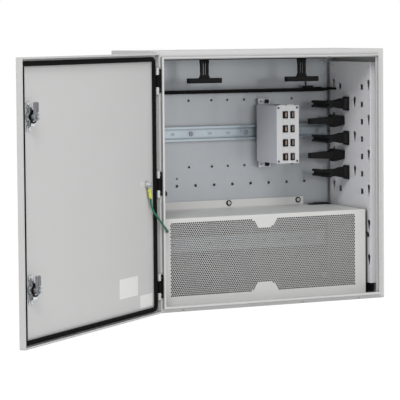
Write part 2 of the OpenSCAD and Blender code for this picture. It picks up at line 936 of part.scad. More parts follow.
module cover() {
    color(cover_grey)
    difference() {
        union() {
            block([-cover_half, cover_y, sheet], [cover_half, cover_y + cover_t, cover_h]);
            block([-cover_half, cover_y, cover_h - cover_t], [cover_half, plate_y, cover_h]);
            block([-cover_half, cover_y, sheet], [cover_half, cover_y + cover_return, sheet + cover_t]);
            block([-cover_flange_half, plate_y - cover_t, cover_h - cover_t],
                [cover_flange_half, plate_y, cover_h + cover_flange]);
        }
        translate([0, cover_y - 1, 0]) upright(cover_t + 2) cover_field_2d();
        along_y(lead_hole_x, lead_hole_z, lead_r + 1, cover_y - 1, cover_y + cover_t + 1);
        grommet_oval(grommet_neck_r, cover_h - cover_t - 1, cover_h + 1);
        for (i = [-1:1])
            along_y(cover_screw_x + i * cover_screw_pitch, cover_screw_z, screw_r + fit,
                plate_y - cover_t - 1, plate_y + 1);
    }
}

module cover_screws() {
    color(steel)
    for (i = [-1:1])
        translate([cover_screw_x + i * cover_screw_pitch, plate_y - cover_t, cover_screw_z])
        rotate([90, 0, 0]) {
            cylinder(r = washer_r, h = washer_t);
            translate([0, 0, washer_t]) pan_screw(4.2, 2.5, screw_r, washer_t + cover_t + plate_t);
        }
}

module grommet_oval(r, low, high) {
    hull()
        for (s = [-1, 1])
            translate([grommet_x + s * grommet_half, grommet_y, low]) cylinder(r = r, h = high - low);
}

module cover_grommet() {
    under = cover_h - cover_t;
    web = cover_h + grommet_web;
    color(black)
    difference() {
        union() {
            grommet_oval(grommet_r, cover_h, cover_h + grommet_rise);
            grommet_oval(grommet_neck_r - grommet_gap, under, cover_h);
            grommet_oval(grommet_r - 1, under - grommet_rise, under);
        }
        grommet_oval(grommet_neck_r - grommet_wall, web, cover_h + grommet_rise + 1);
        grommet_oval(grommet_neck_r - grommet_wall, under - grommet_rise - 1, web - grommet_web);
    }
}

// Hinges

module hinge_block(index) {
    z = hinge_first + index * hinge_pitch;
    color(black)
    difference() {
        union() {
            block([hinge_plate_x, front - hinge_plate_t, z - hinge_plate_h / 2],
                [hinge_plate_x + hinge_plate_w, front, z + hinge_plate_h / 2]);
            block([pivot_x + arm_from, pivot_y, z - block_h / 2],
                [pivot_x + arm_from + arm_t, front, z + block_h / 2]);
            translate([pivot_x, pivot_y, z - block_h / 2]) cylinder(r = knuckle_r, h = block_h);
        }
        translate([pivot_x, pivot_y, z - block_h]) cylinder(r = pin_r + fit, h = 2 * block_h);
        for (s = [-1, 1])
            along_y(hinge_screw_x, z + s * hinge_screw_z, screw_r + fit,
                front - hinge_plate_t - 1, front + 1);
    }
}

module hinge_block_top() {
    hinge_block(2);
}

module hinge_block_middle() {
    hinge_block(1);
}

module hinge_block_bottom() {
    hinge_block(0);
}

module hinge_pins() {
    color(steel)
    for (i = [0:2])
        translate([pivot_x, pivot_y, hinge_first + i * hinge_pitch - hinge_h / 2])
            cylinder(r = pin_r, h = hinge_h);
}

module hinge_screws() {
    color(steel)
    for (i = [0:2], s = [-1, 1])
        translate([hinge_screw_x, front - hinge_plate_t, hinge_first + i * hinge_pitch + s * hinge_screw_z])
            rotate([90, 0, 0]) pan_screw(3.4, 1.4, screw_r, hinge_plate_t + sheet);
}

module door_knuckles() {
    color(enclosure_grey)
    on_open_door()
    for (i = [0:2], s = [-1, 1]) {
        low = hinge_first + i * hinge_pitch + s * (block_h / 2 + knuckle_gap + knuckle_h / 2) - knuckle_h / 2;
        difference() {
            union() {
                translate([pivot_x, pivot_y, low]) cylinder(r = knuckle_r, h = knuckle_h);
                block([pivot_x, skin_in, low], [pivot_x + leaf_w, skin_in + leaf_t, low + knuckle_h]);
                block([pivot_x, skin_in, low], [pivot_x + knuckle_r, pivot_y, low + knuckle_h]);
            }
            translate([pivot_x, pivot_y, low - 1]) cylinder(r = pin_r + fit, h = knuckle_h + 2);
        }
    }
}

// Door

module door_pan() {
    color(enclosure_grey)
    on_open_door()
    difference() {
        block([door_left, skin_out, door_rise], [door_right, rim_y, door_top]);
        block([door_left + door_sheet, skin_in, door_rise + door_sheet],
            [door_right - door_sheet, rim_y - door_sheet, door_top - door_sheet]);
        block([door_left + rim_return, skin_in, door_rise + rim_return],
            [door_right - rim_return, rim_y + 1, door_top - rim_return]);
        for (z = [hinge_first:hinge_pitch:hinge_first + 2 * hinge_pitch])
            block([door_left - 1, skin_in, z - hinge_h / 2 - notch_margin],
                [door_left + rim_return + 1, rim_y + 1, z + hinge_h / 2 + notch_margin]);
        for (i = [0:1])
            along_y(lock_x, lock_first + i * lock_pitch, housing_r + fit, skin_out - 1, skin_in + 1);
    }
}

module door_seal() {
    color(black)
    on_open_door()
    difference() {
        block([seal_left, skin_in, seal_bottom], [seal_right, seal_front, seal_top]);
        block([seal_left + seal_w, skin_in - 1, seal_bottom + seal_w],
            [seal_right - seal_w, seal_front + 1, seal_top - seal_w]);
    }
}

// Locks

module lock_housing(index) {
    color(zinc)
    at_lock(index)
    difference() {
        union() {
            translate([0, 0, -door_sheet - housing_flange_t])
                cylinder(r = housing_flange_r, h = housing_flange_t);
            translate([0, 0, -door_sheet])
                cylinder(r = housing_r, h = door_sheet + bracket_rise + bracket_t + ring_t);
        }
        translate([0, 0, -20]) cylinder(r = core_r + fit, h = 60);
    }
}

module lock_bracket(index) {
    half = bracket_l / 2;
    color(zinc)
    at_lock(index)
    difference() {
        union() {
            translate([-bracket_w / 2, 0, 0]) rotate([90, 0, 90]) linear_extrude(bracket_w)
                polygon([
                    [-half, 0], [-bracket_top - bracket_t, 0], [-bracket_top, bracket_rise],
                    [bracket_top, bracket_rise], [bracket_top + bracket_t, 0], [half, 0],
                    [half, bracket_t], [bracket_top + 2 * bracket_t, bracket_t],
                    [bracket_top + bracket_t, bracket_rise + bracket_t],
                    [-bracket_top - bracket_t, bracket_rise + bracket_t],
                    [-bracket_top - 2 * bracket_t, bracket_t], [-half, bracket_t]
                ]);
            translate([0, 0, bracket_rise]) cylinder(r = housing_r + bracket_eye, h = bracket_t);
        }
        cylinder(r = housing_r + fit, h = 40);
        for (s = [-1, 1]) translate([0, s * bracket_screw, -1]) cylinder(r = screw_r + fit, h = 10);
    }
}

module lock_rings() {
    color(black)
    for (i = [0:1])
        at_lock(i) translate([0, 0, bracket_rise + bracket_t])
        difference() {
            cylinder(r = housing_r + 4, h = ring_t);
            translate([0, 0, -1]) cylinder(r = housing_r + fit, h = ring_t + 2);
        }
}

module lock_screws() {
    color(steel)
    for (i = [0:1], s = [-1, 1])
        at_lock(i) translate([0, s * bracket_screw, bracket_t])
            pan_screw(lock_screw_head_r, 2.4, screw_r, bracket_t);
}

module lock_core(index) {
    low = -door_sheet - housing_flange_t + 0.5;
    color(steel)
    at_lock(index)
    difference() {
        union() {
            translate([0, 0, low]) cylinder(r = core_r, h = cam_low - low);
            translate([-cam_square / 2, -cam_square / 2, cam_low]) cube([cam_square, cam_square, cam_t]);
            translate([0, 0, cam_low + cam_t]) cylinder(r = 3, h = core_end - cam_low - cam_t);
        }
        translate([0, 0, low - 1]) cylinder(r = core_r - 1, h = 6, $fn = 3);
    }
}

module lock_cam(index) {
    boss = 9;
    tip = 6;
    color([0.52, 0.52, 0.54])
    at_lock(index)
    translate([0, 0, cam_low])
    difference() {
        union() {
            cylinder(r = boss, h = cam_t);
            linear_extrude(cam_t)
                polygon([[-boss, 0], [-tip, -cam_reach], [tip, -cam_reach], [boss, 0]]);
        }
        translate([-cam_square / 2 - fit, -cam_square / 2 - fit, -1])
            cube([cam_square + 2 * fit, cam_square + 2 * fit, cam_t + 2]);
    }
}

module lock_nut(index) {
    color(zinc) at_lock(index) translate([0, 0, cam_low + cam_t]) hex_nut(6.5, cam_nut_h, 3 + fit);
}

module lock_upper_housing() {
    lock_housing(1);
}

module lock_lower_housing() {
    lock_housing(0);
}

module lock_upper_bracket() {
    lock_bracket(1);
}

module lock_lower_bracket() {
    lock_bracket(0);
}

module lock_upper_core() {
    lock_core(1);
}

module lock_lower_core() {
    lock_core(0);
}

module lock_upper_cam() {
    lock_cam(1);
}

module lock_lower_cam() {
    lock_cam(0);
}

module lock_upper_nut() {
    lock_nut(1);
}

module lock_lower_nut() {
    lock_nut(0);
}

// Earth connection

module earth_stud() {
    color(steel) on_open_door() along_y(earth_x, earth_z, earth_stud_r, skin_in, skin_in + 13);
}

module earth_nut() {
    color(zinc)
    on_open_door() translate([earth_x, skin_in + lug_lift + lug_t, earth_z]) rotate([-90, 0, 0])
        hex_nut(5.8, 5, earth_stud_r + fit);
}

module earth_lug() {
    color(steel)
    on_open_door() translate([earth_x, skin_in, earth_z]) rotate([-90, lug_tilt, 0])
    difference() {
        union() {
            cylinder(r = 6.5, h = lug_lift + lug_t);
            translate([-4, 0, lug_lift]) cube([8, lug_z, lug_t]);
        }
        translate([0, 0, -1]) cylinder(r = earth_stud_r + fit, h = 10);
    }
}

module earth_sleeve() {
    color([0.80, 0.80, 0.30])
    on_open_door()
    translate([earth_x, skin_in + lug_lift + lug_t / 2, earth_z])
    rotate([0, lug_tilt, 0]) translate([0, 0, -lug_z - sleeve_l]) cylinder(r = sleeve_r, h = sleeve_l);
}

// Points of the lead's route, its direction there, and a ring of points round one of them
function lead_point(i) =
    let (p = lead_route[i], low = lead_hole_z, high = earth_z - (lug_z + sleeve_l) * cos(lug_tilt))
    [pivot_x + p[0], pivot_y + p[1], low + p[2] * (high - low)];

function lead_tangent(i) =
    let (a = lead_point(max(i - 1, 0)), b = lead_point(min(i + 1, len(lead_route) - 1)))
    (b - a) / norm(b - a);

function lead_ring(i, sides) =
    let (t = lead_tangent(i), u = cross(t, [0.8, -0.6, 0]), n = u / norm(u), b = cross(t, n))
    [for (k = [0:sides - 1]) lead_point(i) + lead_r * (cos(360 * k / sides) * n + sin(360 * k / sides) * b)];

module earth_lead() {
    sides = 10;
    rings = len(lead_route);
    color([0.05, 0.42, 0.28])
    polyhedron(
        points = [for (i = [0:rings - 1]) each lead_ring(i, sides)],
        faces = concat(
            [[for (k = [0:sides - 1]) k]],
            [for (i = [0:rings - 2], k = [0:sides - 1])
                let (a = i * sides, b = a + sides, n = (k + 1) % sides) [a + k, b + k, b + n, a + n]],
            [[for (k = [sides - 1:-1:0]) (rings - 1) * sides + k]]
        )
    );
}

cabinet_shell();
gland_plate();
gland_seal();
gland_screws();
mounting_plate();
plate_standoffs();
plate_nuts();
side_rack_right();
side_rack_left();
din_rail_upper();
din_rail_lower();
rail_screws();
lacing_shelf();
shelf_clip();
roof_guide_left();
roof_guide_right();
wall_guide_top();
wall_guide_middle();
wall_guide_bottom();
wall_finger_upper();
wall_finger_lower();
module_case();
module_front();
module_ports();
module_contacts();
module_screws();
module_clips();
module_rail_clip();
cover();
cover_screws();
cover_grommet();
cable_hook();
hinge_block_top();
hinge_block_middle();
hinge_block_bottom();
hinge_pins();
hinge_screws();
door_pan();
door_seal();
door_knuckles();
earth_stud();
earth_nut();
earth_lug();
earth_sleeve();
earth_lead();
lock_upper_housing();
lock_lower_housing();
lock_upper_bracket();
lock_lower_bracket();
lock_rings();
lock_screws();
lock_upper_core();
lock_lower_core();
lock_upper_cam();
lock_lower_cam();
lock_upper_nut();
lock_lower_nut();
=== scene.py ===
"""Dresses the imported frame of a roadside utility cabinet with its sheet, plastic and rubber pieces."""

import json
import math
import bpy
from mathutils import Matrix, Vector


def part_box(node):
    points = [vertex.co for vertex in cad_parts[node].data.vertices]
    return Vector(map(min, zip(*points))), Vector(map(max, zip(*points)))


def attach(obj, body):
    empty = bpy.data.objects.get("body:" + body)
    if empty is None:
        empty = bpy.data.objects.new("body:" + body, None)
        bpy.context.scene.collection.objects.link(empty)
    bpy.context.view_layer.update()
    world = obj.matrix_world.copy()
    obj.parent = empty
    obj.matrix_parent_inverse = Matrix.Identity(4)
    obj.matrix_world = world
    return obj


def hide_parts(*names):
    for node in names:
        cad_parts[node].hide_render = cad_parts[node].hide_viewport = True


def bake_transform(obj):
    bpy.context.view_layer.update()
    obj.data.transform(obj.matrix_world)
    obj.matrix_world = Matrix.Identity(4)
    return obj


bl_info = {
    "name": "Roadside Utility Cabinet",
    "version": (1, 0, 0),
    "blender": (4, 5, 0),
    "location": "3D View > Sidebar > Cabinet",
    "description": "Builds the visible pieces and finishes of a roadside utility cabinet",
    "category": "Object",
}

import bmesh
import bpy
from bpy.props import FloatProperty, FloatVectorProperty, PointerProperty
from mathutils import Matrix, Vector

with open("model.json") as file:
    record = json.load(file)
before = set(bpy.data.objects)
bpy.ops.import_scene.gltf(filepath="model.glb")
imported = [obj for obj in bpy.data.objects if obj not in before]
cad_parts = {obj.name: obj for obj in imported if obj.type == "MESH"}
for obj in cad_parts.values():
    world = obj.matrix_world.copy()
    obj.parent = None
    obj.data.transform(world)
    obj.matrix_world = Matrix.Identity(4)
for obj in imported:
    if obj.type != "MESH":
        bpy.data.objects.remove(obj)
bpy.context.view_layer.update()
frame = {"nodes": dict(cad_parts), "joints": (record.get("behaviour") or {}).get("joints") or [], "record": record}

IMAGE_PX = 400
SENSOR = 36.0

# Places and sizes in the shared frame, in metres
COVER_LOW, COVER_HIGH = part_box("cover")
COVER_TOP = 0.212
COVER_SHEET = 0.0015
LEAD_HOLE = (-0.252, 0.183)
MODULE_LOW, MODULE_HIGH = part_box("module_front")
PLATE_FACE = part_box("mounting_plate")[0].y
DOOR_HINGE = frame["joints"][0]
PIVOT = Vector(DOOR_HINGE["pos_m"])
DOOR_SKIN = -0.1398
PRESSED_SEAL = 0.0071

# Left, right, lower and upper edge of the cover's perforated field
FIELD = (-0.245, 0.2425, 0.0300, 0.2018)

# Plain tabs of that field: depth, half width at the field's edge, and how much narrower they end
UPPER_TAB = (0.018, 0.0315, 0.015)
LOWER_TAB = (0.019, 0.033, 0.0145)

# Lower compartment, darkened by painted shade: where it begins on each axis, and where the painted shade is full
SHADED_COMPARTMENT = (
    ("Z", COVER_TOP, 0.202), ("Y", -0.087, -0.077), ("Z", 0.0004, 0.001), ("Y", 0.1246, 0.124),
    ("X", -0.2996, -0.299), ("X", 0.2996, 0.299),
)

# Turns that lay a form's upright axis to the front and to the back
TO_FRONT = Matrix.Rotation(math.pi / 2, 4, "X")
TO_BACK = Matrix.Rotation(-math.pi / 2, 4, "X")

# Strength of the studio's light from the front and from behind, and of the floor's white
FRONT_SKY = 0.60
BACK_SKY = 0.45
FLOOR_GLOW = 1.13


def colour_property(label, default):
    """A colour that the user can change."""
    return FloatVectorProperty(
        name=label, description=label + ", linear", subtype="COLOR", size=3, min=0.0, max=1.0,
        default=default
    )


def length_property(label, default):
    """A length that the user can change, in metres."""
    return FloatProperty(
        name=label, description=label + ", in metres", unit="LENGTH", min=0.0, precision=5, default=default
    )


class CabinetSizes(bpy.types.PropertyGroup):
    """Sizes of the pieces that the frame leaves open."""

    hole_radius: length_property("Radius of a perforation", 0.00223)
    hole_pitch: length_property("Distance from perforation to perforation", 0.005)
    fold_radius: length_property("Outer radius of the cover's folds", 0.0025)
    edge_round: length_property("Rounding of folded sheet edges", 0.0008)
    moulding_round: length_property("Rounding of moulded edges", 0.0009)
    lead_radius: length_property("Radius of the earth lead", 0.00225)
    seal_corner: length_property("Outer corner radius of the door seal", 0.0125)
    label_thickness: length_property("Thickness of a blank label", 0.0003)


class CabinetColours(bpy.types.PropertyGroup):
    """Colours of the finishes."""

    enclosure: colour_property("Enclosure paint", (0.53, 0.53, 0.527))
    cover: colour_property("Cover paint", (0.56, 0.558, 0.55))
    rack: colour_property("Rack paint", (0.77, 0.77, 0.795))
    galvanised: colour_property("Galvanised sheet", (0.36, 0.38, 0.40))
    zinc: colour_property("Zinc plating", (0.345, 0.395, 0.43))
    steel: colour_property("Plain steel", (0.62, 0.62, 0.62))
    black_paint: colour_property("Black paint", (0.003, 0.003, 0.003))
    black_plastic: colour_property("Black plastic", (0.006, 0.006, 0.006))
    rubber: colour_property("Black rubber", (0.0095, 0.0095, 0.0095))
    module_case: colour_property("Module case", (0.60, 0.61, 0.66))
    module_front: colour_property("Module front", (0.49, 0.49, 0.50))
    contacts: colour_property("Contact metal", (0.22, 0.165, 0.135))
    cast: colour_property("Die-cast metal", (0.30, 0.30, 0.32))
    lead: colour_property("Earth lead", (0.005, 0.125, 0.062))
    sleeve: colour_property("Earth sleeve", (0.55, 0.56, 0.10))
    burnished: colour_property("Burnished screws", (0.07, 0.07, 0.075))
    bright_zinc: colour_property("Fresh zinc plating", (0.74, 0.78, 0.82))
    label: colour_property("Blank label", (0.72, 0.72, 0.715))
    floor: colour_property("Floor", (0.85, 0.85, 0.85))


def sizes():
    """The sizes that the scene holds."""
    return bpy.context.scene.cabinet_sizes


def colours():
    """The colours that the scene holds."""
    return bpy.context.scene.cabinet_colours


def joined(tree, start, output, end, socket):
    """Links an output of one node to a socket of another."""
    tree.links.new(start.outputs[output], end.inputs[socket])


def ramp(tree, start, output, low, high, to_low=0.0, to_high=1.0):
    """Maps a node's value from low and high to two other values, and holds those outside them."""
    node = tree.nodes.new("ShaderNodeMapRange")
    sockets = {"From Min": low, "From Max": high, "To Min": to_low, "To Max": to_high}
    for socket, value in sockets.items():
        node.inputs[socket].default_value = value
    joined(tree, start, output, node, "Value")
    return node


def combined(tree, operation, first, second):
    """The output of a maths node that takes two other outputs."""
    node = tree.nodes.new("ShaderNodeMath")
    node.operation = operation
    tree.links.new(first, node.inputs[0])
    tree.links.new(second, node.inputs[1])
    return node.outputs["Value"]


def colour_mix(tree, share):
    """A mix of two colours by an output that gives the share of the second."""
    node = tree.nodes.new("ShaderNodeMix")
    node.data_type = "RGBA"
    tree.links.new(share, node.inputs["Factor"])
    return node


def toned(colour, share):
    """A colour made lighter or darker, with the fourth value that a socket takes."""
    return (*[min(1.0, c * share) for c in colour], 1)


def grain_noise(tree, scale, detail, stretch):
    """Noise in the object's own metres, drawn out along the axes where stretch is small."""
    place = tree.nodes.new("ShaderNodeTexCoord")
    mapping = tree.nodes.new("ShaderNodeMapping")
    mapping.inputs["Scale"].default_value = stretch
    noise = tree.nodes.new("ShaderNodeTexNoise")
    noise.inputs["Scale"].default_value = scale
    noise.inputs["Detail"].default_value = detail
    joined(tree, place, "Object", mapping, "Vector")
    joined(tree, mapping, "Vector", noise, "Vector")
    return noise


def painted_compartment_shade(tree, surface, colour):
    """Paints shade over a finish in the lower compartment, behind the cover: a darker tone that stands in for the
    shade inside it.
    """
    place = tree.nodes.new("ShaderNodeTexCoord")
    axes = tree.nodes.new("ShaderNodeSeparateXYZ")
    joined(tree, place, "Object", axes, "Vector")
    share = None
    for axis, begins, full in SHADED_COMPARTMENT:
        within = ramp(tree, axes, axis, begins, full).outputs["Result"]
        share = within if share is None else combined(tree, "MULTIPLY", share, within)
    mixed = colour_mix(tree, share)
    mixed.inputs["B"].default_value = colour
    joined(tree, surface, "Result", mixed, "A")
    return mixed


def finish(
    name, colour, roughness, metallic=0.0, mottle=0.05, mottle_scale=9.0, stretch=(1, 1, 1),
    rough_spread=0.08, grain=0.15, grain_scale=900.0, grain_stretch=(1, 1, 1), grain_depth=0.0002,
    specular=0.5, crease_shade=1.0, crease_shade_reach=0.006, edge=0.0, compartment_shade=1.0
):
    """A finish whose tone drifts, whose gloss varies and whose surface has a fine grain.

    Painted shade darkens creases to the share crease of the colour, edges look rounded by edge, and painted shade
    darkens the lower compartment to the share dull.
    """
    made = bpy.data.materials.get(name)
    if made:
        return made
    made = bpy.data.materials.new(name)
    made.use_nodes = True
    tree = made.node_tree
    shader = tree.nodes["Principled BSDF"]
    shader.inputs["Metallic"].default_value = metallic
    shader.inputs["Specular IOR Level"].default_value = specular
    drift = grain_noise(tree, mottle_scale, 5.0, stretch)
    tone = colour_mix(tree, drift.outputs["Fac"])
    tone.inputs["A"].default_value = toned(colour, 1 - mottle)
    tone.inputs["B"].default_value = toned(colour, 1 + mottle)
    surface = tone
    # Painted shade: ambient occlusion darkens creases and nooks towards a darker copy of the colour
    if crease_shade < 1.0:
        reach = tree.nodes.new("ShaderNodeAmbientOcclusion")
        reach.inputs["Distance"].default_value = crease_shade_reach
        surface = colour_mix(tree, reach.outputs["AO"])
        surface.inputs["A"].default_value = toned(colour, crease_shade)
        joined(tree, tone, "Result", surface, "B")
    # Painted shade: a darker tone in the lower compartment, behind the cover
    if compartment_shade < 1.0:
        surface = painted_compartment_shade(tree, surface, toned(colour, compartment_shade))
    joined(tree, surface, "Result", shader, "Base Color")
    # Most of the noise lies between 0.3 and 0.7
    smoothest = max(0.05, roughness - rough_spread)
    roughest = min(1.0, roughness + rough_spread)
    gloss = ramp(tree, drift, "Fac", 0.3, 0.7, smoothest, roughest)
    joined(tree, gloss, "Result", shader, "Roughness")
    fine = grain_noise(tree, grain_scale, 3.0, grain_stretch)
    bump = tree.nodes.new("ShaderNodeBump")
    bump.inputs["Strength"].default_value = grain
    bump.inputs["Distance"].default_value = grain_depth
    joined(tree, fine, "Fac", bump, "Height")
    if edge:
        rounding = tree.nodes.new("ShaderNodeBevel")
        rounding.inputs["Radius"].default_value = edge
        joined(tree, rounding, "Normal", bump, "Normal")
    joined(tree, bump, "Normal", shader, "Normal")
    return made


def finishes():
    """The finish of each material slot of the record."""
    c = colours()
    # Many finishes below carry painted shade in their creases and in the lower compartment
    return {
        "enclosure_paint": finish(
            "powder_coat_grey", c.enclosure, 0.42, grain=0.2, mottle=0.025, crease_shade=0.4,
            crease_shade_reach=0.007, edge=sizes().edge_round, compartment_shade=0.15
        ),
        "cover_paint": finish(
            "powder_coat_warm_grey", c.cover, 0.45, grain=0.2, mottle=0.03, crease_shade=0.5,
            crease_shade_reach=0.004
        ),
        "rack_paint": finish(
            "powder_coat_rack", c.rack, 0.45, grain=0.2, mottle=0.03, crease_shade=0.5, crease_shade_reach=0.006,
            compartment_shade=0.1
        ),
        "galvanised": finish(
            "galvanised_sheet", c.galvanised, 0.42, metallic=0.35, mottle=0.10, mottle_scale=26.0,
            stretch=(1, 1, 0.04), rough_spread=0.12, grain=0.25, grain_scale=500.0,
            grain_stretch=(1, 1, 0.04), crease_shade=0.45, crease_shade_reach=0.012, compartment_shade=0.1
        ),
        "zinc_plate": finish(
            "zinc_plating", c.zinc, 0.34, metallic=0.75, mottle=0.06, mottle_scale=40.0, grain_scale=700.0,
            grain_stretch=(0.05, 1, 1), crease_shade=0.08, crease_shade_reach=0.007, compartment_shade=0.45
        ),
        "steel": finish(
            "turned_steel", c.steel, 0.34, metallic=0.85, mottle=0.1, mottle_scale=160.0, grain=0.1,
            crease_shade=0.1, crease_shade_reach=0.002
        ),
        "black_paint": finish(
            "satin_black", c.black_paint, 0.40, mottle=0.2, mottle_scale=30.0, specular=0.05
        ),
        "black_plastic": finish(
            "moulded_black", c.black_plastic, 0.46, mottle=0.25, mottle_scale=70.0, grain=0.35,
            grain_scale=1400.0, specular=0.1
        ),
        "rubber": finish(
            "foam_rubber", c.rubber, 0.82, mottle=0.35, mottle_scale=220.0, grain=0.6, grain_scale=1500.0,
            grain_depth=0.0004, specular=0.02
        ),
        "case_grey": finish(
            "module_case_grey", c.module_case, 0.5, mottle=0.03, grain=0.25, grain_scale=1200.0,
            crease_shade=0.5, crease_shade_reach=0.004
        ),
        "front_white": finish(
            "module_front_white", c.module_front, 0.42, mottle=0.02, grain=0.2, crease_shade=0.5,
            crease_shade_reach=0.002
        ),
        "contacts": finish(
            "contact_metal", c.contacts, 0.4, metallic=0.4, mottle=0.4, mottle_scale=600.0,
            stretch=(1, 1, 0.2)
        ),
        "cast_grey": finish(
            "die_cast", c.cast, 0.46, metallic=0.6, mottle=0.2, mottle_scale=120.0, grain=0.45,
            crease_shade=0.15, crease_shade_reach=0.002
        ),
        "lead_green": finish(
            "green_insulation", c.lead, 0.38, mottle=0.18, mottle_scale=90.0, grain=0.2, specular=0.3
        ),
        "sleeve_yellow": finish(
            "yellow_sleeve", c.sleeve, 0.5, mottle=0.5, mottle_scale=160.0, stretch=(1, 1, 0.35),
            grain=0.3, crease_shade=0.1, crease_shade_reach=0.002
        ),
    }


def repaint(material, *nodes):
    """Gives CAD nodes a finish."""
    for name in nodes:
        data = frame["nodes"][name].data
        data.materials.clear()
        data.materials.append(material)


def finish_nodes(*nodes):
    """Gives CAD nodes the finish of their own slot."""
    made = finishes()
    slot_of = {part["node"]: part["material_slot"] for part in frame["record"]["subparts"]}
    for name in nodes:
        repaint(made[slot_of[name]], name)


def burnished():
    """The finish of small dark screws."""
    return finish(
        "burnished_steel", colours().burnished, 0.36, metallic=0.5, mottle=0.2, mottle_scale=160.0
    )


def bright_zinc():
    """The finish of freshly plated small parts."""
    return finish(
        "bright_zinc", colours().bright_zinc, 0.2, metallic=1.0, mottle=0.12, mottle_scale=120.0,
        grain=0.12, crease_shade=0.06
    )


def soften(obj, width):
    """Joins the split corners of a CAD node and rounds its hard edges."""
    merge = obj.modifiers.new("Weld", "WELD")
    merge.merge_threshold = 1e-6
    bevel = obj.modifiers.new("Edges", "BEVEL")
    bevel.width = width
    bevel.segments = 2
    bevel.limit_method = "ANGLE"
    bevel.angle_limit = math.radians(40)
    bevel.use_clamp_overlap = True


def piece(name, bm, material, body, replaced=(), smooth=0.0, blend=None):
    """Makes a piece of the object from a bmesh in the shared frame and puts it on its body, or, when blend is
    given, leaves it in the shared frame on no body.
    """
    mesh = bpy.data.meshes.new(name)
    bmesh.ops.recalc_face_normals(bm, faces=bm.faces[:])
    bm.to_mesh(mesh)
    bm.free()
    mesh.materials.append(material)
    if smooth:
        mesh.shade_smooth()
        mesh.set_sharp_from_angle(angle=math.radians(smooth))
    obj = bpy.data.objects.new(name, mesh)
    bpy.context.scene.collection.objects.link(obj)
    if blend:
        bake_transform(obj)
    else:
        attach(obj, body)
    if replaced:
        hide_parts(*replaced)
    return obj


def open_door():
    """Carries a piece from the closed door to where the open door stands."""
    turn = Matrix.Rotation(-math.radians(DOOR_HINGE["range_deg"][1]), 4, Vector(DOOR_HINGE["axis"]))
    return Matrix.Translation(PIVOT) @ turn @ Matrix.Translation(-PIVOT)


def add_faces(bm, points, faces, place=None):
    """Adds points and faces to a bmesh."""
    made = [bm.verts.new(place @ Vector(p) if place else p) for p in points]
    for face in faces:
        bm.faces.new([made[i] for i in face])


def add_skin(bm, rings, closed=False):
    """Faces from each ring of points to the next, and from the last to the first if closed."""
    following = rings[1:] + rings[:1] if closed else rings[1:]
    for low, high in zip(rings, following):
        for k in range(len(low)):
            n = (k + 1) % len(low)
            bm.faces.new(list(dict.fromkeys((low[k], low[n], high[n], high[k]))))


def rounded_outline(low, high, radius, steps=4):
    """Outline of a rectangle with round corners, counter-clockwise."""
    points = []
    corners = ((high[0], high[1], 0), (low[0], high[1], 1), (low[0], low[1], 2), (high[0], low[1], 3))
    for x, y, quarter in corners:
        cx = x - radius if x == high[0] else x + radius
        cy = y - radius if y == high[1] else y + radius
        for k in range(steps + 1):
            a = math.pi / 2 * (quarter + k / steps)
            points.append((cx + radius * math.cos(a), cy + radius * math.sin(a)))
    return points


def add_prism(bm, outline, low, high, place, chamfer=0.0):
    """A prism over an outline, with its upper edge cut back by the chamfer."""
    n = len(outline)
    cx = sum(p[0] for p in outline) / n
    cy = sum(p[1] for p in outline) / n
    rings = [(low, 0.0), (high - chamfer, 0.0)]
    if chamfer:
        rings.append((high, chamfer))
    points = []
    for z, cut in rings:
        for x, y in outline:
            d = math.hypot(x - cx, y - cy) or 1.0
            points.append((x - (x - cx) / d * cut, y - (y - cy) / d * cut, z))
    faces = [list(range(n))[::-1], list(range(n * (len(rings) - 1), n * len(rings)))]
    for r in range(len(rings) - 1):
        for i in range(n):
            j = (i + 1) % n
            faces.append([r * n + i, r * n + j, (r + 1) * n + j, (r + 1) * n + i])
    add_faces(bm, points, faces, place)


def add_lathe(bm, profile, place, sides):
    """A turned form over (radius, height) points, whose ends close on the axis or on each other."""
    turn = [2 * math.pi * k / sides for k in range(sides)]
    rings = []
    for r, z in profile:
        if r == 0:
            rings.append([bm.verts.new(place @ Vector((0, 0, z)))] * sides)
        else:
            ring = [Vector((r * math.cos(a), r * math.sin(a), z)) for a in turn]
            rings.append([bm.verts.new(place @ p) for p in ring])
    starts_on_axis = profile[0][0] == 0
    ends_on_axis = profile[-1][0] == 0
    add_skin(bm, rings, closed=not (starts_on_axis or ends_on_axis))
    if ends_on_axis and not starts_on_axis:
        bm.faces.new(rings[0])


def bridge(outer, inner):
    """Triangles between two rings given as (angle, index), each sorted by angle."""
    faces = []
    i = j = 0
    n, m = len(outer), len(inner)
    turn = 2 * math.pi
    while i < n or j < m:
        next_outer = outer[(i + 1) % n][0] + turn * ((i + 1) // n)
        next_inner = inner[(j + 1) % m][0] + turn * ((j + 1) // m)
        if j >= m or (i < n and next_outer <= next_inner):
            faces.append((outer[i % n][1], outer[(i + 1) % n][1], inner[j % m][1]))
            i += 1
        else:
            faces.append((outer[i % n][1], inner[(j + 1) % m][1], inner[j % m][1]))
            j += 1
    return faces


def oval_points(centre, half, radius, steps):
    """Outline of an oblong whose round ends lie half to the left and half to the right of the centre."""
    points = []
    for k in range(2 * steps):
        a = math.pi * (k + 0.5) / steps - math.pi / 2
        shift = half if math.cos(a) > 0 else -half
        points.append((centre[0] + shift + radius * math.cos(a), centre[1] + radius * math.sin(a)))
    return points


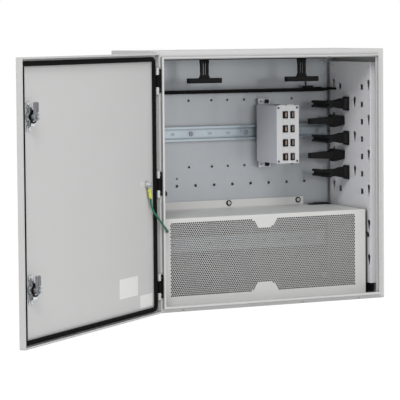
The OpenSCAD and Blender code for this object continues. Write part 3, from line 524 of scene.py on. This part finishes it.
class SheetLayers:
    """A thin sheet made of two like layers of faces, closed round its rim and in its holes."""

    def __init__(self, to_front, to_back):
        self.to_front = to_front
        self.to_back = to_back
        self.flat = []
        self.faces = []
        self.walls = []
        self.at = {}

    def point(self, key, u, v):
        """The index of a flat point, which is made once for its key."""
        if key not in self.at:
            self.at[key] = len(self.flat)
            self.flat.append((u, v))
        return self.at[key]

    def cell_with_hole(self, loop, centre, hole):
        """A cell round a hole; loop holds indices, hole holds points, both starlike about the centre."""
        first = len(self.flat)
        self.flat += hole
        outer = self.by_angle(loop, centre)
        ring = self.by_angle(range(first, first + len(hole)), centre)
        self.faces += bridge(outer, ring)
        self.walls += [(b[1], a[1]) for a, b in zip(ring, ring[1:] + ring[:1])]

    def by_angle(self, indices, centre):
        """Pairs of angle and index, counter-clockwise about the centre."""
        u, v = centre
        return sorted((math.atan2(self.flat[i][1] - v, self.flat[i][0] - u), i) for i in indices)

    def build(self, bm, rim):
        """Adds the sheet to a bmesh; rim is the counter-clockwise loop of its outer edge."""
        n = len(self.flat)
        points = [self.to_front(*p) for p in self.flat] + [self.to_back(*p) for p in self.flat]
        faces = list(self.faces) + [tuple(n + i for i in reversed(f)) for f in self.faces]
        edges = self.walls + [(rim[i], rim[(i + 1) % len(rim)]) for i in range(len(rim))]
        faces += [(b, a, n + a, n + b) for a, b in edges]
        add_faces(bm, points, faces)


def in_plain_tab(x, z, margin):
    """True where a perforation would cut a tab at the middle of the field's upper or lower edge."""
    low, high = FIELD[2:]
    for (depth, half, taper), inwards in ((UPPER_TAB, high - z), (LOWER_TAB, z - low)):
        if inwards < depth + margin:
            return abs(x) < half - taper * max(inwards, 0) / depth + margin
    return False


def add_perforated_front(bm):
    """The cover's front sheet with its staggered perforation and the hole of the earth lead."""
    s = sizes()
    left, right = COVER_LOW.x, COVER_HIGH.x
    low, high = COVER_LOW.z + s.fold_radius, COVER_TOP - s.fold_radius
    field_left, field_right, field_low, field_high = FIELD
    columns = round((field_right - field_left) / s.hole_pitch)
    rows = round((field_high - field_low) / (s.hole_pitch * math.sin(math.radians(60))))
    half = (field_right - field_left) / columns / 2
    rise = (field_high - field_low) / rows
    front = COVER_LOW.y
    sheet = SheetLayers(lambda u, v: (u, front, v), lambda u, v: (u, front + COVER_SHEET, v))

    def corner(j, k):
        u = left if j < 0 else right if j > 2 * columns else field_left + j * half
        v = low if k < 0 else high if k > rows else field_low + k * rise
        return sheet.point((j, k), u, v)

    def plain(j, k):
        sheet.faces.append((corner(j, k), corner(j + 1, k), corner(j + 1, k + 1), corner(j, k + 1)))

    reach, radius = 0.0065, 0.00325
    hole_rows = [k for k in range(rows) if abs(field_low + (k + 0.5) * rise - LEAD_HOLE[1]) < reach]
    first, last = hole_rows[0], hole_rows[-1] + 1
    for k in range(-1, rows + 1):
        if not first <= k < last:
            plain(-1, k)
        plain(2 * columns, k)
    loop = [corner(-1, k) for k in range(last, first - 1, -1)]
    loop += [corner(0, k) for k in range(first, last + 1)]
    sheet.cell_with_hole(loop, LEAD_HOLE, oval_points(LEAD_HOLE, 0.0, radius, 8))
    for j in range(2 * columns):
        plain(j, -1)
        plain(j, rows)
    for k in range(rows):
        odd = k % 2
        if odd:
            plain(0, k)
            plain(2 * columns - 1, k)
        for i in range(columns - odd):
            j = 2 * i + odd
            loop = [corner(j + d, k) for d in (0, 1, 2)] + [corner(j + d, k + 1) for d in (2, 1, 0)]
            x = field_left + (j + 1) * half
            z = field_low + (k + 0.5) * rise
            if in_plain_tab(x, z, s.hole_radius):
                sheet.faces.append(tuple(loop))
            else:
                sheet.cell_with_hole(loop, (x, z), oval_points((x, z), 0.0, s.hole_radius, 4))
    rim = [corner(j, -1) for j in range(-1, 2 * columns + 2)]
    rim += [corner(2 * columns + 1, k) for k in range(0, rows + 2)]
    rim += [corner(j, rows + 1) for j in range(2 * columns, -2, -1)]
    rim += [corner(-1, k) for k in range(rows, -1, -1)]
    sheet.build(bm, rim)


def fold(centre, radius, start, turn=-1):
    """Points of a quarter fold about a centre in the depth and height plane, from a start angle."""
    steps = 5
    points = []
    for k in range(steps + 1):
        a = start + turn * math.pi / 2 * k / steps
        points.append((centre[0] + radius * math.cos(a), centre[1] + radius * math.sin(a)))
    return points


def add_folded_strip(bm, outer, inner, left, right):
    """A folded strip of sheet whose outer and inner side are given in the depth and height plane."""
    n = len(outer)
    points = []
    for x in (left, right):
        points += [(x, y, z) for y, z in outer] + [(x, y, z) for y, z in inner]
    faces = []
    for i in range(n - 1):
        faces.append((i, i + 1, 2 * n + i + 1, 2 * n + i))
        faces.append((n + i, 3 * n + i, 3 * n + i + 1, n + i + 1))
        faces.append((i, n + i, n + i + 1, i + 1))
        faces.append((2 * n + i, 2 * n + i + 1, 3 * n + i + 1, 3 * n + i))
    faces.append((0, 2 * n, 3 * n, n))
    faces.append((n - 1, 2 * n - 1, 4 * n - 1, 3 * n - 1))
    add_faces(bm, points, faces)


def add_cover_top(bm):
    """The cover's top sheet with the grommet's hole, between the front fold and the back flange."""
    s = sizes()
    grommet_low, grommet_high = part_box("cover_grommet")
    gx = (grommet_low.x + grommet_high.x) / 2
    gy = (grommet_low.y + grommet_high.y) / 2
    xs = [COVER_LOW.x, grommet_low.x, grommet_high.x, COVER_HIGH.x]
    ys = [COVER_LOW.y + s.fold_radius, grommet_low.y, grommet_high.y, COVER_HIGH.y - s.fold_radius]
    under = COVER_TOP - COVER_SHEET
    sheet = SheetLayers(lambda u, v: (u, v, COVER_TOP), lambda u, v: (u, v, under))

    def corner(i, j):
        return sheet.point((i, j), xs[i], ys[j])

    for i in range(3):
        for j in range(3):
            loop = (corner(i, j), corner(i + 1, j), corner(i + 1, j + 1), corner(i, j + 1))
            if (i, j) == (1, 1):
                sheet.cell_with_hole(loop, (gx, gy), oval_points((gx, gy), 0.019, 0.0105, 20))
            else:
                sheet.faces.append(loop)
    rim = [corner(i, 0) for i in range(4)] + [corner(3, j) for j in range(1, 4)]
    rim += [corner(i, 3) for i in (2, 1, 0)] + [corner(0, j) for j in (2, 1)]
    sheet.build(bm, rim)


class CABINET_OT_camera(bpy.types.Operator):
    """Place the camera at the photograph's viewing angle"""

    bl_idname = "cabinet.camera"
    bl_label = "Camera"

    def execute(self, context):
        stand = Vector((-2.11726, -4.38618, 0.64617))
        yaw, pitch, roll = 0.438064, -0.051487, -0.0080885
        focal_px, centre_px = 2035.893, (224.589, 135.143)
        along = math.cos(pitch)
        forward = Vector((math.sin(yaw) * along, math.cos(yaw) * along, math.sin(pitch)))
        level = Vector((math.cos(yaw), -math.sin(yaw), 0))
        above = level.cross(forward)
        right = math.cos(roll) * level + math.sin(roll) * above
        up = -math.sin(roll) * level + math.cos(roll) * above
        data = bpy.data.cameras.new("camera")
        data.sensor_width = SENSOR
        data.lens = focal_px / IMAGE_PX * SENSOR
        data.shift_x = (IMAGE_PX / 2 - centre_px[0]) / IMAGE_PX
        data.shift_y = (centre_px[1] - IMAGE_PX / 2) / IMAGE_PX
        data.clip_end = 50.0
        camera = bpy.data.objects.new("camera", data)
        matrix = Matrix((right, up, -forward)).transposed().to_4x4()
        matrix.translation = stand
        camera.matrix_world = matrix
        context.scene.collection.objects.link(camera)
        context.scene.camera = camera
        return {"FINISHED"}


def smooth_route(points, steps):
    """A smooth curve through the points."""
    route = []
    for i in range(len(points) - 1):
        a, b = Vector(points[max(i - 1, 0)]), Vector(points[i])
        c, d = Vector(points[i + 1]), Vector(points[min(i + 2, len(points) - 1)])
        for k in range(steps):
            t = k / steps
            square = 2 * a - 5 * b + 4 * c - d
            cube = 3 * b - a - 3 * c + d
            route.append(0.5 * (2 * b + (c - a) * t + square * t**2 + cube * t**3))
    route.append(Vector(points[-1]))
    return route


class CABINET_OT_earth_lead(bpy.types.Operator):
    """Lay the earth lead from the door's stud into the cabinet"""

    bl_idname = "cabinet.earth_lead"
    bl_label = "Earth lead"

    def execute(self, context):
        # Millimetres from the hinge, and the share of the height between the two ends
        steps = [
            (-28.9661, -22.1812, 0.99944), (-27.2351, -20.7944, 0.9096), (-26, -20.6, 0.81),
            (-24, -21.6, 0.72), (-20.8, -23, 0.62), (-16.2, -23.8, 0.54), (-10.5, -23, 0.46),
            (-4.5, -19, 0.38), (1.5, -15, 0.31), (6.9, -11.4, 0.245), (11.8, -7.6, 0.185),
            (16.3, -6, 0.131), (21.4, 1.1, 0.083), (29.1, 14.8, 0.049), (36.7, 31.2, 0.012),
            (41.5, 44, 0), (41.5, 54, 0),
        ]
        low, high = LEAD_HOLE[1], 0.2679825
        points = []
        for x, y, share in steps:
            points.append((PIVOT.x + x / 1000, PIVOT.y + y / 1000, low + share * (high - low)))
        route = smooth_route(points, 4)
        radius = sizes().lead_radius
        sides = 14
        bm = bmesh.new()
        rings = []
        for i, p in enumerate(route):
            along = (route[min(i + 1, len(route) - 1)] - route[max(i - 1, 0)]).normalized()
            across = along.cross(Vector((0.8, -0.6, 0))).normalized()
            over = along.cross(across)
            ring = []
            for k in range(sides):
                a = 2 * math.pi * k / sides
                ring.append(bm.verts.new(p + radius * (math.cos(a) * across + math.sin(a) * over)))
            rings.append(ring)
        add_skin(bm, rings)
        bm.faces.new(rings[0])
        bm.faces.new(rings[-1])
        lead = piece(
            "earth_lead_cord", bm, finishes()["lead_green"], None, ["earth_lead"], 60,
            ("cabinet", "door", route[-1], route[0])
        )
        return {"FINISHED"}


class CABINET_OT_shell(bpy.types.Operator):
    """Finish the folded shell and its gland plate"""

    bl_idname = "cabinet.shell"
    bl_label = "Shell"

    def execute(self, context):
        finish_nodes("cabinet_shell", "gland_plate", "gland_seal", "gland_screws")
        return {"FINISHED"}


class CABINET_OT_plate(bpy.types.Operator):
    """Finish the mounting plate, the rails and the shelf"""

    bl_idname = "cabinet.plate"
    bl_label = "Mounting plate and rails"

    def execute(self, context):
        finish_nodes(
            "mounting_plate", "plate_standoffs", "plate_nuts", "din_rail_upper", "din_rail_lower",
            "rail_screws", "lacing_shelf", "shelf_clip"
        )
        repaint(finishes()["cast_grey"], "rail_screws")
        head = [
            (0.0026, 0.0), (0.0026, 0.0007), (0.0019, 0.0014), (0.0010, 0.0015), (0.0008, 0.0009),
            (0, 0.0009),
        ]
        rivets = ((0.258, 0.565), (0.265, 0.566), (0.257, 0.5315), (0.2665, 0.5315))
        bm = bmesh.new()
        for x, z in rivets:
            add_lathe(bm, head, Matrix.Translation((x, PLATE_FACE, z)) @ TO_FRONT, 12)
        piece("plate_rivets", bm, finishes()["steel"], "cabinet", smooth=30)
        bm = bmesh.new()
        flat = Matrix.Translation((0, PLATE_FACE, 0)) @ TO_FRONT
        strip = rounded_outline((-0.270, 0.5748), (0.270, 0.5895), 0.0004, 2)
        add_prism(bm, strip, 0.0, 0.0008, flat, 0.0002)
        piece("plate_edge_strip", bm, finishes()["rubber"], "cabinet")
        return {"FINISHED"}


class CABINET_OT_racks(bpy.types.Operator):
    """Finish the perforated side racks"""

    bl_idname = "cabinet.racks"
    bl_label = "Side racks"

    def execute(self, context):
        finish_nodes("side_rack_right", "side_rack_left", "cable_hook")
        return {"FINISHED"}


class CABINET_OT_guides(bpy.types.Operator):
    """Finish the moulded cable guides and fingers"""

    bl_idname = "cabinet.guides"
    bl_label = "Cable guides"

    def execute(self, context):
        names = [n for n in frame["nodes"] if "guide" in n or "finger" in n]
        finish_nodes(*names)
        for name in names:
            soften(frame["nodes"][name], sizes().moulding_round)
        rib = [
            (0.0010, 0.0140), (0.0070, 0.0140), (0.0070, 0.0560), (0.0047, 0.0560), (0.0044, 0.0550),
            (0.0044, 0.0252), (0.0040, 0.0245), (0.0010, 0.0245),
        ]
        half = 0.0028
        bm = bmesh.new()
        for name in ("roof_guide_left", "roof_guide_right"):
            low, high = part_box(name)
            middle = (low + high) / 2
            for side in (-1, 1):
                place = Matrix(
                    ((side, 0, 0, middle.x), (0, 0, 1, middle.y), (0, -1, 0, high.z), (0, 0, 0, 1))
                )
                add_prism(bm, rib, -half, half, place)
        piece("roof_guide_ribs", bm, finishes()["black_plastic"], "cabinet")
        return {"FINISHED"}


class CABINET_OT_module(bpy.types.Operator):
    """Finish the module and add its blank strips and tabs"""

    bl_idname = "cabinet.module"
    bl_label = "Module"

    def execute(self, context):
        names = [n for n in frame["nodes"] if n.startswith("module_")]
        finish_nodes(*names)
        repaint(burnished(), "module_screws")
        place = Matrix.Translation((0, MODULE_LOW.y, 0)) @ TO_FRONT
        top = MODULE_HIGH.z
        first_row, row_pitch, half = 0.022, 0.0338, 0.0066
        bm = bmesh.new()
        for low, high in ((0.0868, 0.1000), (0.1052, 0.1182)):
            for row in range(3):
                z = top - first_row - row_pitch * (row + 0.5)
                strip = rounded_outline((low, z - half), (high, z + half), 0.0008)
                add_prism(bm, strip, 0.0, 0.0006, place, 0.0002)
        for low, high in ((0.0765, 0.0940), (0.0972, 0.1165)):
            tab = rounded_outline((low, top - 0.001), (high, top + 0.0024), 0.0006)
            add_prism(bm, tab, -0.0030, -0.0005, place, 0.0003)
        piece("module_strips", bm, finishes()["front_white"], "cabinet")
        return {"FINISHED"}


class CABINET_OT_cover(bpy.types.Operator):
    """Fold and perforate the lower compartment's cover"""

    bl_idname = "cabinet.cover"
    bl_label = "Cover"

    def execute(self, context):
        r = sizes().fold_radius
        thin = r - COVER_SHEET
        front, back = COVER_LOW.y, COVER_HIGH.y
        low, top = COVER_LOW.z, COVER_TOP
        left, right = COVER_LOW.x, COVER_HIGH.x
        lip, half_flange = 0.016, 0.203
        bm = bmesh.new()
        add_perforated_front(bm)
        add_cover_top(bm)
        upper = (front + r, top - r)
        add_folded_strip(bm, fold(upper, r, math.pi), fold(upper, thin, math.pi), left, right)
        lower = (front + r, low + r)
        end = front + lip
        outer = [(end, low)] + fold(lower, r, 3 * math.pi / 2)
        inner = [(end, low + COVER_SHEET)] + fold(lower, thin, 3 * math.pi / 2)
        add_folded_strip(bm, outer, inner, left, right)
        behind = (back - r, top + thin)
        outer = fold(behind, r, -math.pi / 2, 1) + [(back, COVER_HIGH.z)]
        inner = fold(behind, thin, -math.pi / 2, 1) + [(back - COVER_SHEET, COVER_HIGH.z)]
        add_folded_strip(bm, outer, inner, -half_flange, half_flange)
        piece("cover_perforated", bm, finishes()["cover_paint"], "cabinet", ["cover"])
        finish_nodes("cover_screws")
        self.washers()
        self.grommet()
        return {"FINISHED"}

    def grommet(self):
        """An oblong rubber grommet: a flange below the sheet, a neck and a dome with a closed mouth."""
        low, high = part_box("cover_grommet")
        radius = (high.y - low.y) / 2
        half = (high.x - low.x) / 2 - radius
        centre = ((low.x + high.x) / 2, (low.y + high.y) / 2)
        # Radius and height of the rings up to the dome
        neck = (
            (0.0085, 0.0), (0.0085, -0.0065), (0.0124, -0.0065), (0.0130, -0.0059), (0.0130, -0.00155),
            (0.0103, -0.00155), (0.0103, 0.00005), (radius, 0.00005), (radius, 0.0006),
        )
        # Share of the full width and height of the rings of the dome
        dome = (
            (0.96, 0.0012), (0.88, 0.0021), (0.78, 0.0030), (0.68, 0.0038), (0.58, 0.0045), (0.52, 0.0048),
            (0.47, 0.0049), (0.43, 0.0046), (0.41, 0.0038), (0.40, 0.0020), (0.37, 0.0015), (0.06, 0.0012),
        )
        rings = [(0.1 * half, 0.0008, 0.0)]
        rings += [(half, r, z) for r, z in neck]
        rings += [(share * half, share * radius, z) for share, z in dome]
        bm = bmesh.new()
        loops = []
        for reach, r, z in rings:
            outline = oval_points(centre, reach, r, 14)
            loops.append([bm.verts.new((x, y, COVER_TOP + z)) for x, y in outline])
        add_skin(bm, loops)
        bm.faces.new(loops[0])
        bm.faces.new(loops[-1])
        made = finish(
            "moulded_rubber", colours().rubber, 0.38, mottle=0.3, mottle_scale=90.0, grain=0.3,
            grain_scale=1400.0, specular=0.25
        )
        piece("cover_grommet_moulded", bm, made, "cabinet", ["cover_grommet"], 45)

    def washers(self):
        """Rubber washers that cap the steel ones under the cover's screws."""
        low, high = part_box("cover_screws")
        section = [
            (0.00655, 0.0), (0.0069, 0.0), (0.0070, 0.0014), (0.0066, 0.0019), (0.0044, 0.0019),
            (0.0044, 0.00152), (0.00655, 0.00152),
        ]
        steel_radius = 0.0065
        bm = bmesh.new()
        for share in (0.0, 0.5, 1.0):
            x = low.x + steel_radius + share * (high.x - low.x - 2 * steel_radius)
            place = Matrix.Translation((x, COVER_HIGH.y - COVER_SHEET, (low.z + high.z) / 2))
            add_lathe(bm, section, place @ TO_FRONT, 24)
        piece("cover_washers", bm, finishes()["rubber"], "cabinet", smooth=40)


class CABINET_OT_hinges(bpy.types.Operator):
    """Finish the hinge blocks, pins and knuckles"""

    bl_idname = "cabinet.hinges"
    bl_label = "Hinges"

    def execute(self, context):
        names = [n for n in frame["nodes"] if n.startswith("hinge_")] + ["door_knuckles"]
        finish_nodes(*names)
        repaint(burnished(), "hinge_screws")
        return {"FINISHED"}


class CABINET_OT_door(bpy.types.Operator):
    """Finish the door pan and its blank labels"""

    bl_idname = "cabinet.door"
    bl_label = "Door"

    def execute(self, context):
        finish_nodes("door_pan", "earth_stud", "earth_nut", "earth_lug")
        repaint(bright_zinc(), "earth_nut")
        self.sleeve()
        place = open_door() @ Matrix.Translation((0, DOOR_SKIN, 0)) @ TO_BACK
        labels = (((-0.203, 0.0536), (-0.119, 0.0979)), ((-0.2715, 0.0217), (-0.213, 0.0513)))
        bm = bmesh.new()
        for low, high in labels:
            outline = rounded_outline((low[0], -high[1]), (high[0], -low[1]), 0.002)
            add_prism(bm, outline, 0.0, sizes().label_thickness, place, 0.0001)
        label = finish("blank_label", colours().label, 0.4, mottle=0.03, grain=0.1)
        piece("door_blank_labels", bm, label, "door")
        return {"FINISHED"}

    def sleeve(self):
        """The crimped sleeve on the earth lead's lug."""
        tilt = Matrix.Rotation(math.radians(16.2), 4, "Y") @ Matrix.Translation((0, 0, -0.0323))
        place = open_door() @ Matrix.Translation((-0.248, -0.1348, 0.299)) @ tilt
        section = [
            (0, 0.0005), (0.0029, 0.0004), (0.0036, 0), (0.0041, 0.0009), (0.0041, 0.0062), (0.0032, 0.0074),
            (0.0032, 0.0090), (0.0040, 0.0102), (0.0040, 0.0118), (0.0031, 0.0130), (0.0031, 0.0148),
            (0.0040, 0.0160), (0.0037, 0.0234), (0.0031, 0.0240), (0, 0.0240),
        ]
        bm = bmesh.new()
        add_lathe(bm, section, place, 20)
        yellow = finishes()["sleeve_yellow"]
        piece("earth_sleeve_crimped", bm, yellow, "door", ["earth_sleeve"], 35)


class CABINET_OT_seal(bpy.types.Operator):
    """Lay the foam seal round the door"""

    bl_idname = "cabinet.seal"
    bl_label = "Door seal"

    def execute(self, context):
        low_x, high_x, low_z, high_z = -0.2848, 0.2900, 0.0083, 0.5868
        # Runs on the lock side, above, on the hinge side and below
        runs = (
            self.profile(0.0120, 0.0080, 0.0033, 0.0072, 0.0080),
            self.profile(0.0103, 0.0071, 0.0017, 0.0044, 0.0080),
            self.profile(0.0063, 0.0076, 0.0042, 0.0063, 0.0071),
            self.profile(0.0088, 0.0071, 0.0017, 0.0068, 0.0080),
        )
        corner = sizes().seal_corner
        place = open_door()
        bm = bmesh.new()
        rings = []
        steps = 8
        centres = (
            (high_x - corner, high_z - corner), (low_x + corner, high_z - corner),
            (low_x + corner, low_z + corner), (high_x - corner, low_z + corner),
        )
        for quarter, (cx, cz) in enumerate(centres):
            for k in range(steps + 1):
                a = math.pi / 2 * (quarter + k / steps)
                ring = []
                for start, end in zip(runs[quarter], runs[(quarter + 1) % 4]):
                    across, up = Vector(start).lerp(end, k / steps)
                    if 0 < k < steps:
                        up = min(up, PRESSED_SEAL)
                    reach = corner - across
                    p = Vector((cx + reach * math.cos(a), DOOR_SKIN + up, cz + reach * math.sin(a)))
                    ring.append(bm.verts.new(place @ p))
                rings.append(ring)
        add_skin(bm, rings, closed=True)
        piece("door_foam_seal", bm, finishes()["rubber"], "door", ["door_seal"], 50)
        return {"FINISHED"}

    def profile(self, width, outer, groove_from, groove_to, inner):
        """Section of a run, from its outer edge inwards, with the groove that the lip has pressed in."""
        soft, slope = 0.0012, 0.0005
        return (
            (0, 0), (0, outer - soft), (soft, outer), (groove_from - slope, outer),
            (groove_from, PRESSED_SEAL), (groove_to - slope, PRESSED_SEAL), (groove_to, inner),
            (max(groove_to, width - soft), inner), (width, inner - soft), (width, 0),
        )


class CABINET_OT_locks(bpy.types.Operator):
    """Finish the locks and cast their ribbed cams"""

    bl_idname = "cabinet.locks"
    bl_label = "Locks"

    def execute(self, context):
        finish_nodes(*[n for n in frame["nodes"] if n.startswith("lock_") and not n.endswith("_cam")])
        for body, z in (("lock_upper", 0.474), ("lock_lower", 0.120)):
            repaint(bright_zinc(), body + "_bracket", body + "_housing")
            self.cam(body, z)
        return {"FINISHED"}

    def cam(self, body, z):
        """A cast cam with a raised boss and three ribs along its arm."""
        place = open_door() @ Matrix.Translation((0.255, DOOR_SKIN, z)) @ TO_BACK
        low, web, high = 0.0178, 0.0202, 0.0218
        tip, half, boss, corner = -0.030, 0.0080, 0.0090, 0.002
        outline = []
        for side, start in ((-1, math.pi), (1, 1.5 * math.pi)):
            for k in range(5):
                a = start + math.pi / 8 * k
                x = side * (half - corner) + corner * math.cos(a)
                outline.append((x, tip + corner + corner * math.sin(a)))
        meet = -math.asin(math.sqrt(boss**2 - half**2) / boss)
        for k in range(17):
            a = meet + (math.pi - 2 * meet) * k / 16
            outline.append((boss * math.cos(a), boss * math.sin(a)))
        bm = bmesh.new()
        add_prism(bm, outline, low, web, place, 0.0003)
        thin = 0.0011
        for x in (-0.0066, 0.0, 0.0066):
            rib = rounded_outline((x - thin, tip + 0.0014), (x + thin, -0.0092), 0.0005, 2)
            add_prism(bm, rib, web, high, place, 0.0004)
        ring = [(boss * math.cos(math.pi * k / 12), boss * math.sin(math.pi * k / 12)) for k in range(24)]
        add_prism(bm, ring, web, high, place, 0.0005)
        piece(body + "_ribbed_cam", bm, finishes()["cast_grey"], body, [body + "_cam"])


def seen_by_eye(tree):
    """An output that is one for a ray seen straight, in a reflection or through glass, or else zero."""
    rays = tree.nodes.new("ShaderNodeLightPath").outputs
    seen = rays["Is Camera Ray"]
    for ray in ("Is Glossy Ray", "Is Transmission Ray"):
        seen = combined(tree, "MAXIMUM", seen, rays[ray])
    return seen


class CABINET_OT_stage(bpy.types.Operator):
    """Set up the pale floor and the soft light"""

    bl_idname = "cabinet.stage"
    bl_label = "Floor and light"

    def execute(self, context):
        scene = context.scene
        scene.view_settings.view_transform = "Standard"
        self.floor()
        self.world(scene)
        self.lamp("key_light", at=(0.35, -4.0, 0.8), target=(0.0, 0.0, 0.3), size=0.6, power=28.0)
        self.lamp("soft_box", at=(-2.0, -3.2, 3.8), target=(-0.2, 0.0, 0.3), size=2.2, power=112.0)
        return {"FINISHED"}

    def floor(self):
        """A wide pale floor that runs out into the white of the studio on every side."""
        bm = bmesh.new()
        bmesh.ops.create_circle(bm, cap_ends=True, segments=64, radius=20.0)
        mesh = bpy.data.meshes.new("floor")
        bm.to_mesh(mesh)
        bm.free()
        mesh.materials.append(self.floor_finish())
        floor = bpy.data.objects.new("floor", mesh)
        bpy.context.scene.collection.objects.link(floor)

    def floor_finish(self):
        """Pale to the light, and close to white to the eye, with the object's shadow left in it."""
        made = bpy.data.materials.new("pale_floor")
        made.use_nodes = True
        tree = made.node_tree
        shader = tree.nodes["Principled BSDF"]
        shader.inputs["Base Color"].default_value = (*colours().floor, 1)
        shader.inputs["Roughness"].default_value = 0.9
        glow = tree.nodes.new("ShaderNodeEmission")
        glow.inputs["Strength"].default_value = FLOOR_GLOW
        # Share of the glow in what the eye sees, beyond its share in the light on the object
        seen, lit = 0.55, 0.25
        share = tree.nodes.new("ShaderNodeMath")
        share.operation = "MULTIPLY_ADD"
        share.inputs[1].default_value = seen
        share.inputs[2].default_value = lit
        tree.links.new(seen_by_eye(tree), share.inputs[0])
        mix = tree.nodes.new("ShaderNodeMixShader")
        joined(tree, share, "Value", mix, 0)
        joined(tree, shader, "BSDF", mix, 1)
        joined(tree, glow, "Emission", mix, 2)
        joined(tree, mix, "Shader", tree.nodes["Material Output"], "Surface")
        return made

    def world(self, scene):
        """An even studio sky that shows white to the eye and in reflections."""
        world = bpy.data.worlds.new("studio")
        scene.world = world
        world.use_nodes = True
        tree = world.node_tree
        light = tree.nodes["Background"]
        light.inputs["Color"].default_value = (1, 1, 1, 1)
        place = tree.nodes.new("ShaderNodeTexCoord")
        depth = tree.nodes.new("ShaderNodeSeparateXYZ")
        joined(tree, place, "Generated", depth, "Vector")
        level = ramp(tree, depth, "Y", -1.0, 1.0, FRONT_SKY, BACK_SKY)
        joined(tree, level, "Result", light, "Strength")
        white = tree.nodes.new("ShaderNodeBackground")
        white.inputs["Color"].default_value = (1, 1, 1, 1)
        mix = tree.nodes.new("ShaderNodeMixShader")
        tree.links.new(seen_by_eye(tree), mix.inputs[0])
        joined(tree, light, "Background", mix, 1)
        joined(tree, white, "Background", mix, 2)
        joined(tree, mix, "Shader", tree.nodes["World Output"], "Surface")

    def lamp(self, name, at, target, size, power):
        """A round area lamp that points at a target."""
        data = bpy.data.lights.new(name, "AREA")
        data.shape = "DISK"
        data.size = size
        data.energy = power
        lamp = bpy.data.objects.new(name, data)
        lamp.location = at
        lamp.rotation_euler = (Vector(target) - Vector(at)).to_track_quat("-Z", "Y").to_euler()
        bpy.context.scene.collection.objects.link(lamp)


class VIEW3D_PT_cabinet(bpy.types.Panel):
    """Lists the cabinet's pieces, sizes and colours"""

    bl_label = "Utility cabinet"
    bl_idname = "VIEW3D_PT_cabinet"
    bl_space_type = "VIEW_3D"
    bl_region_type = "UI"
    bl_category = "Cabinet"

    def draw(self, context):
        for operator in OPERATORS:
            self.layout.operator(operator.bl_idname)
        for group in (context.scene.cabinet_sizes, context.scene.cabinet_colours):
            for name in group.__annotations__:
                self.layout.prop(group, name)


OPERATORS = (
    CABINET_OT_camera,
    CABINET_OT_earth_lead,
    CABINET_OT_shell,
    CABINET_OT_plate,
    CABINET_OT_racks,
    CABINET_OT_guides,
    CABINET_OT_module,
    CABINET_OT_cover,
    CABINET_OT_hinges,
    CABINET_OT_door,
    CABINET_OT_seal,
    CABINET_OT_locks,
    CABINET_OT_stage,
)
CLASSES = (CabinetSizes, CabinetColours, *OPERATORS, VIEW3D_PT_cabinet)


def register():
    for cls in CLASSES:
        bpy.utils.register_class(cls)
    bpy.types.Scene.cabinet_sizes = PointerProperty(type=CabinetSizes)
    bpy.types.Scene.cabinet_colours = PointerProperty(type=CabinetColours)


def unregister():
    del bpy.types.Scene.cabinet_colours
    del bpy.types.Scene.cabinet_sizes
    for cls in reversed(CLASSES):
        bpy.utils.unregister_class(cls)


def main():
    """Builds every piece in order."""
    register()
    bpy.ops.cabinet.camera()
    bpy.ops.cabinet.earth_lead()
    bpy.ops.cabinet.shell()
    bpy.ops.cabinet.plate()
    bpy.ops.cabinet.racks()
    bpy.ops.cabinet.guides()
    bpy.ops.cabinet.module()
    bpy.ops.cabinet.cover()
    bpy.ops.cabinet.hinges()
    bpy.ops.cabinet.door()
    bpy.ops.cabinet.seal()
    bpy.ops.cabinet.locks()
    bpy.ops.cabinet.stage()


if __name__ == "__main__":
    main()
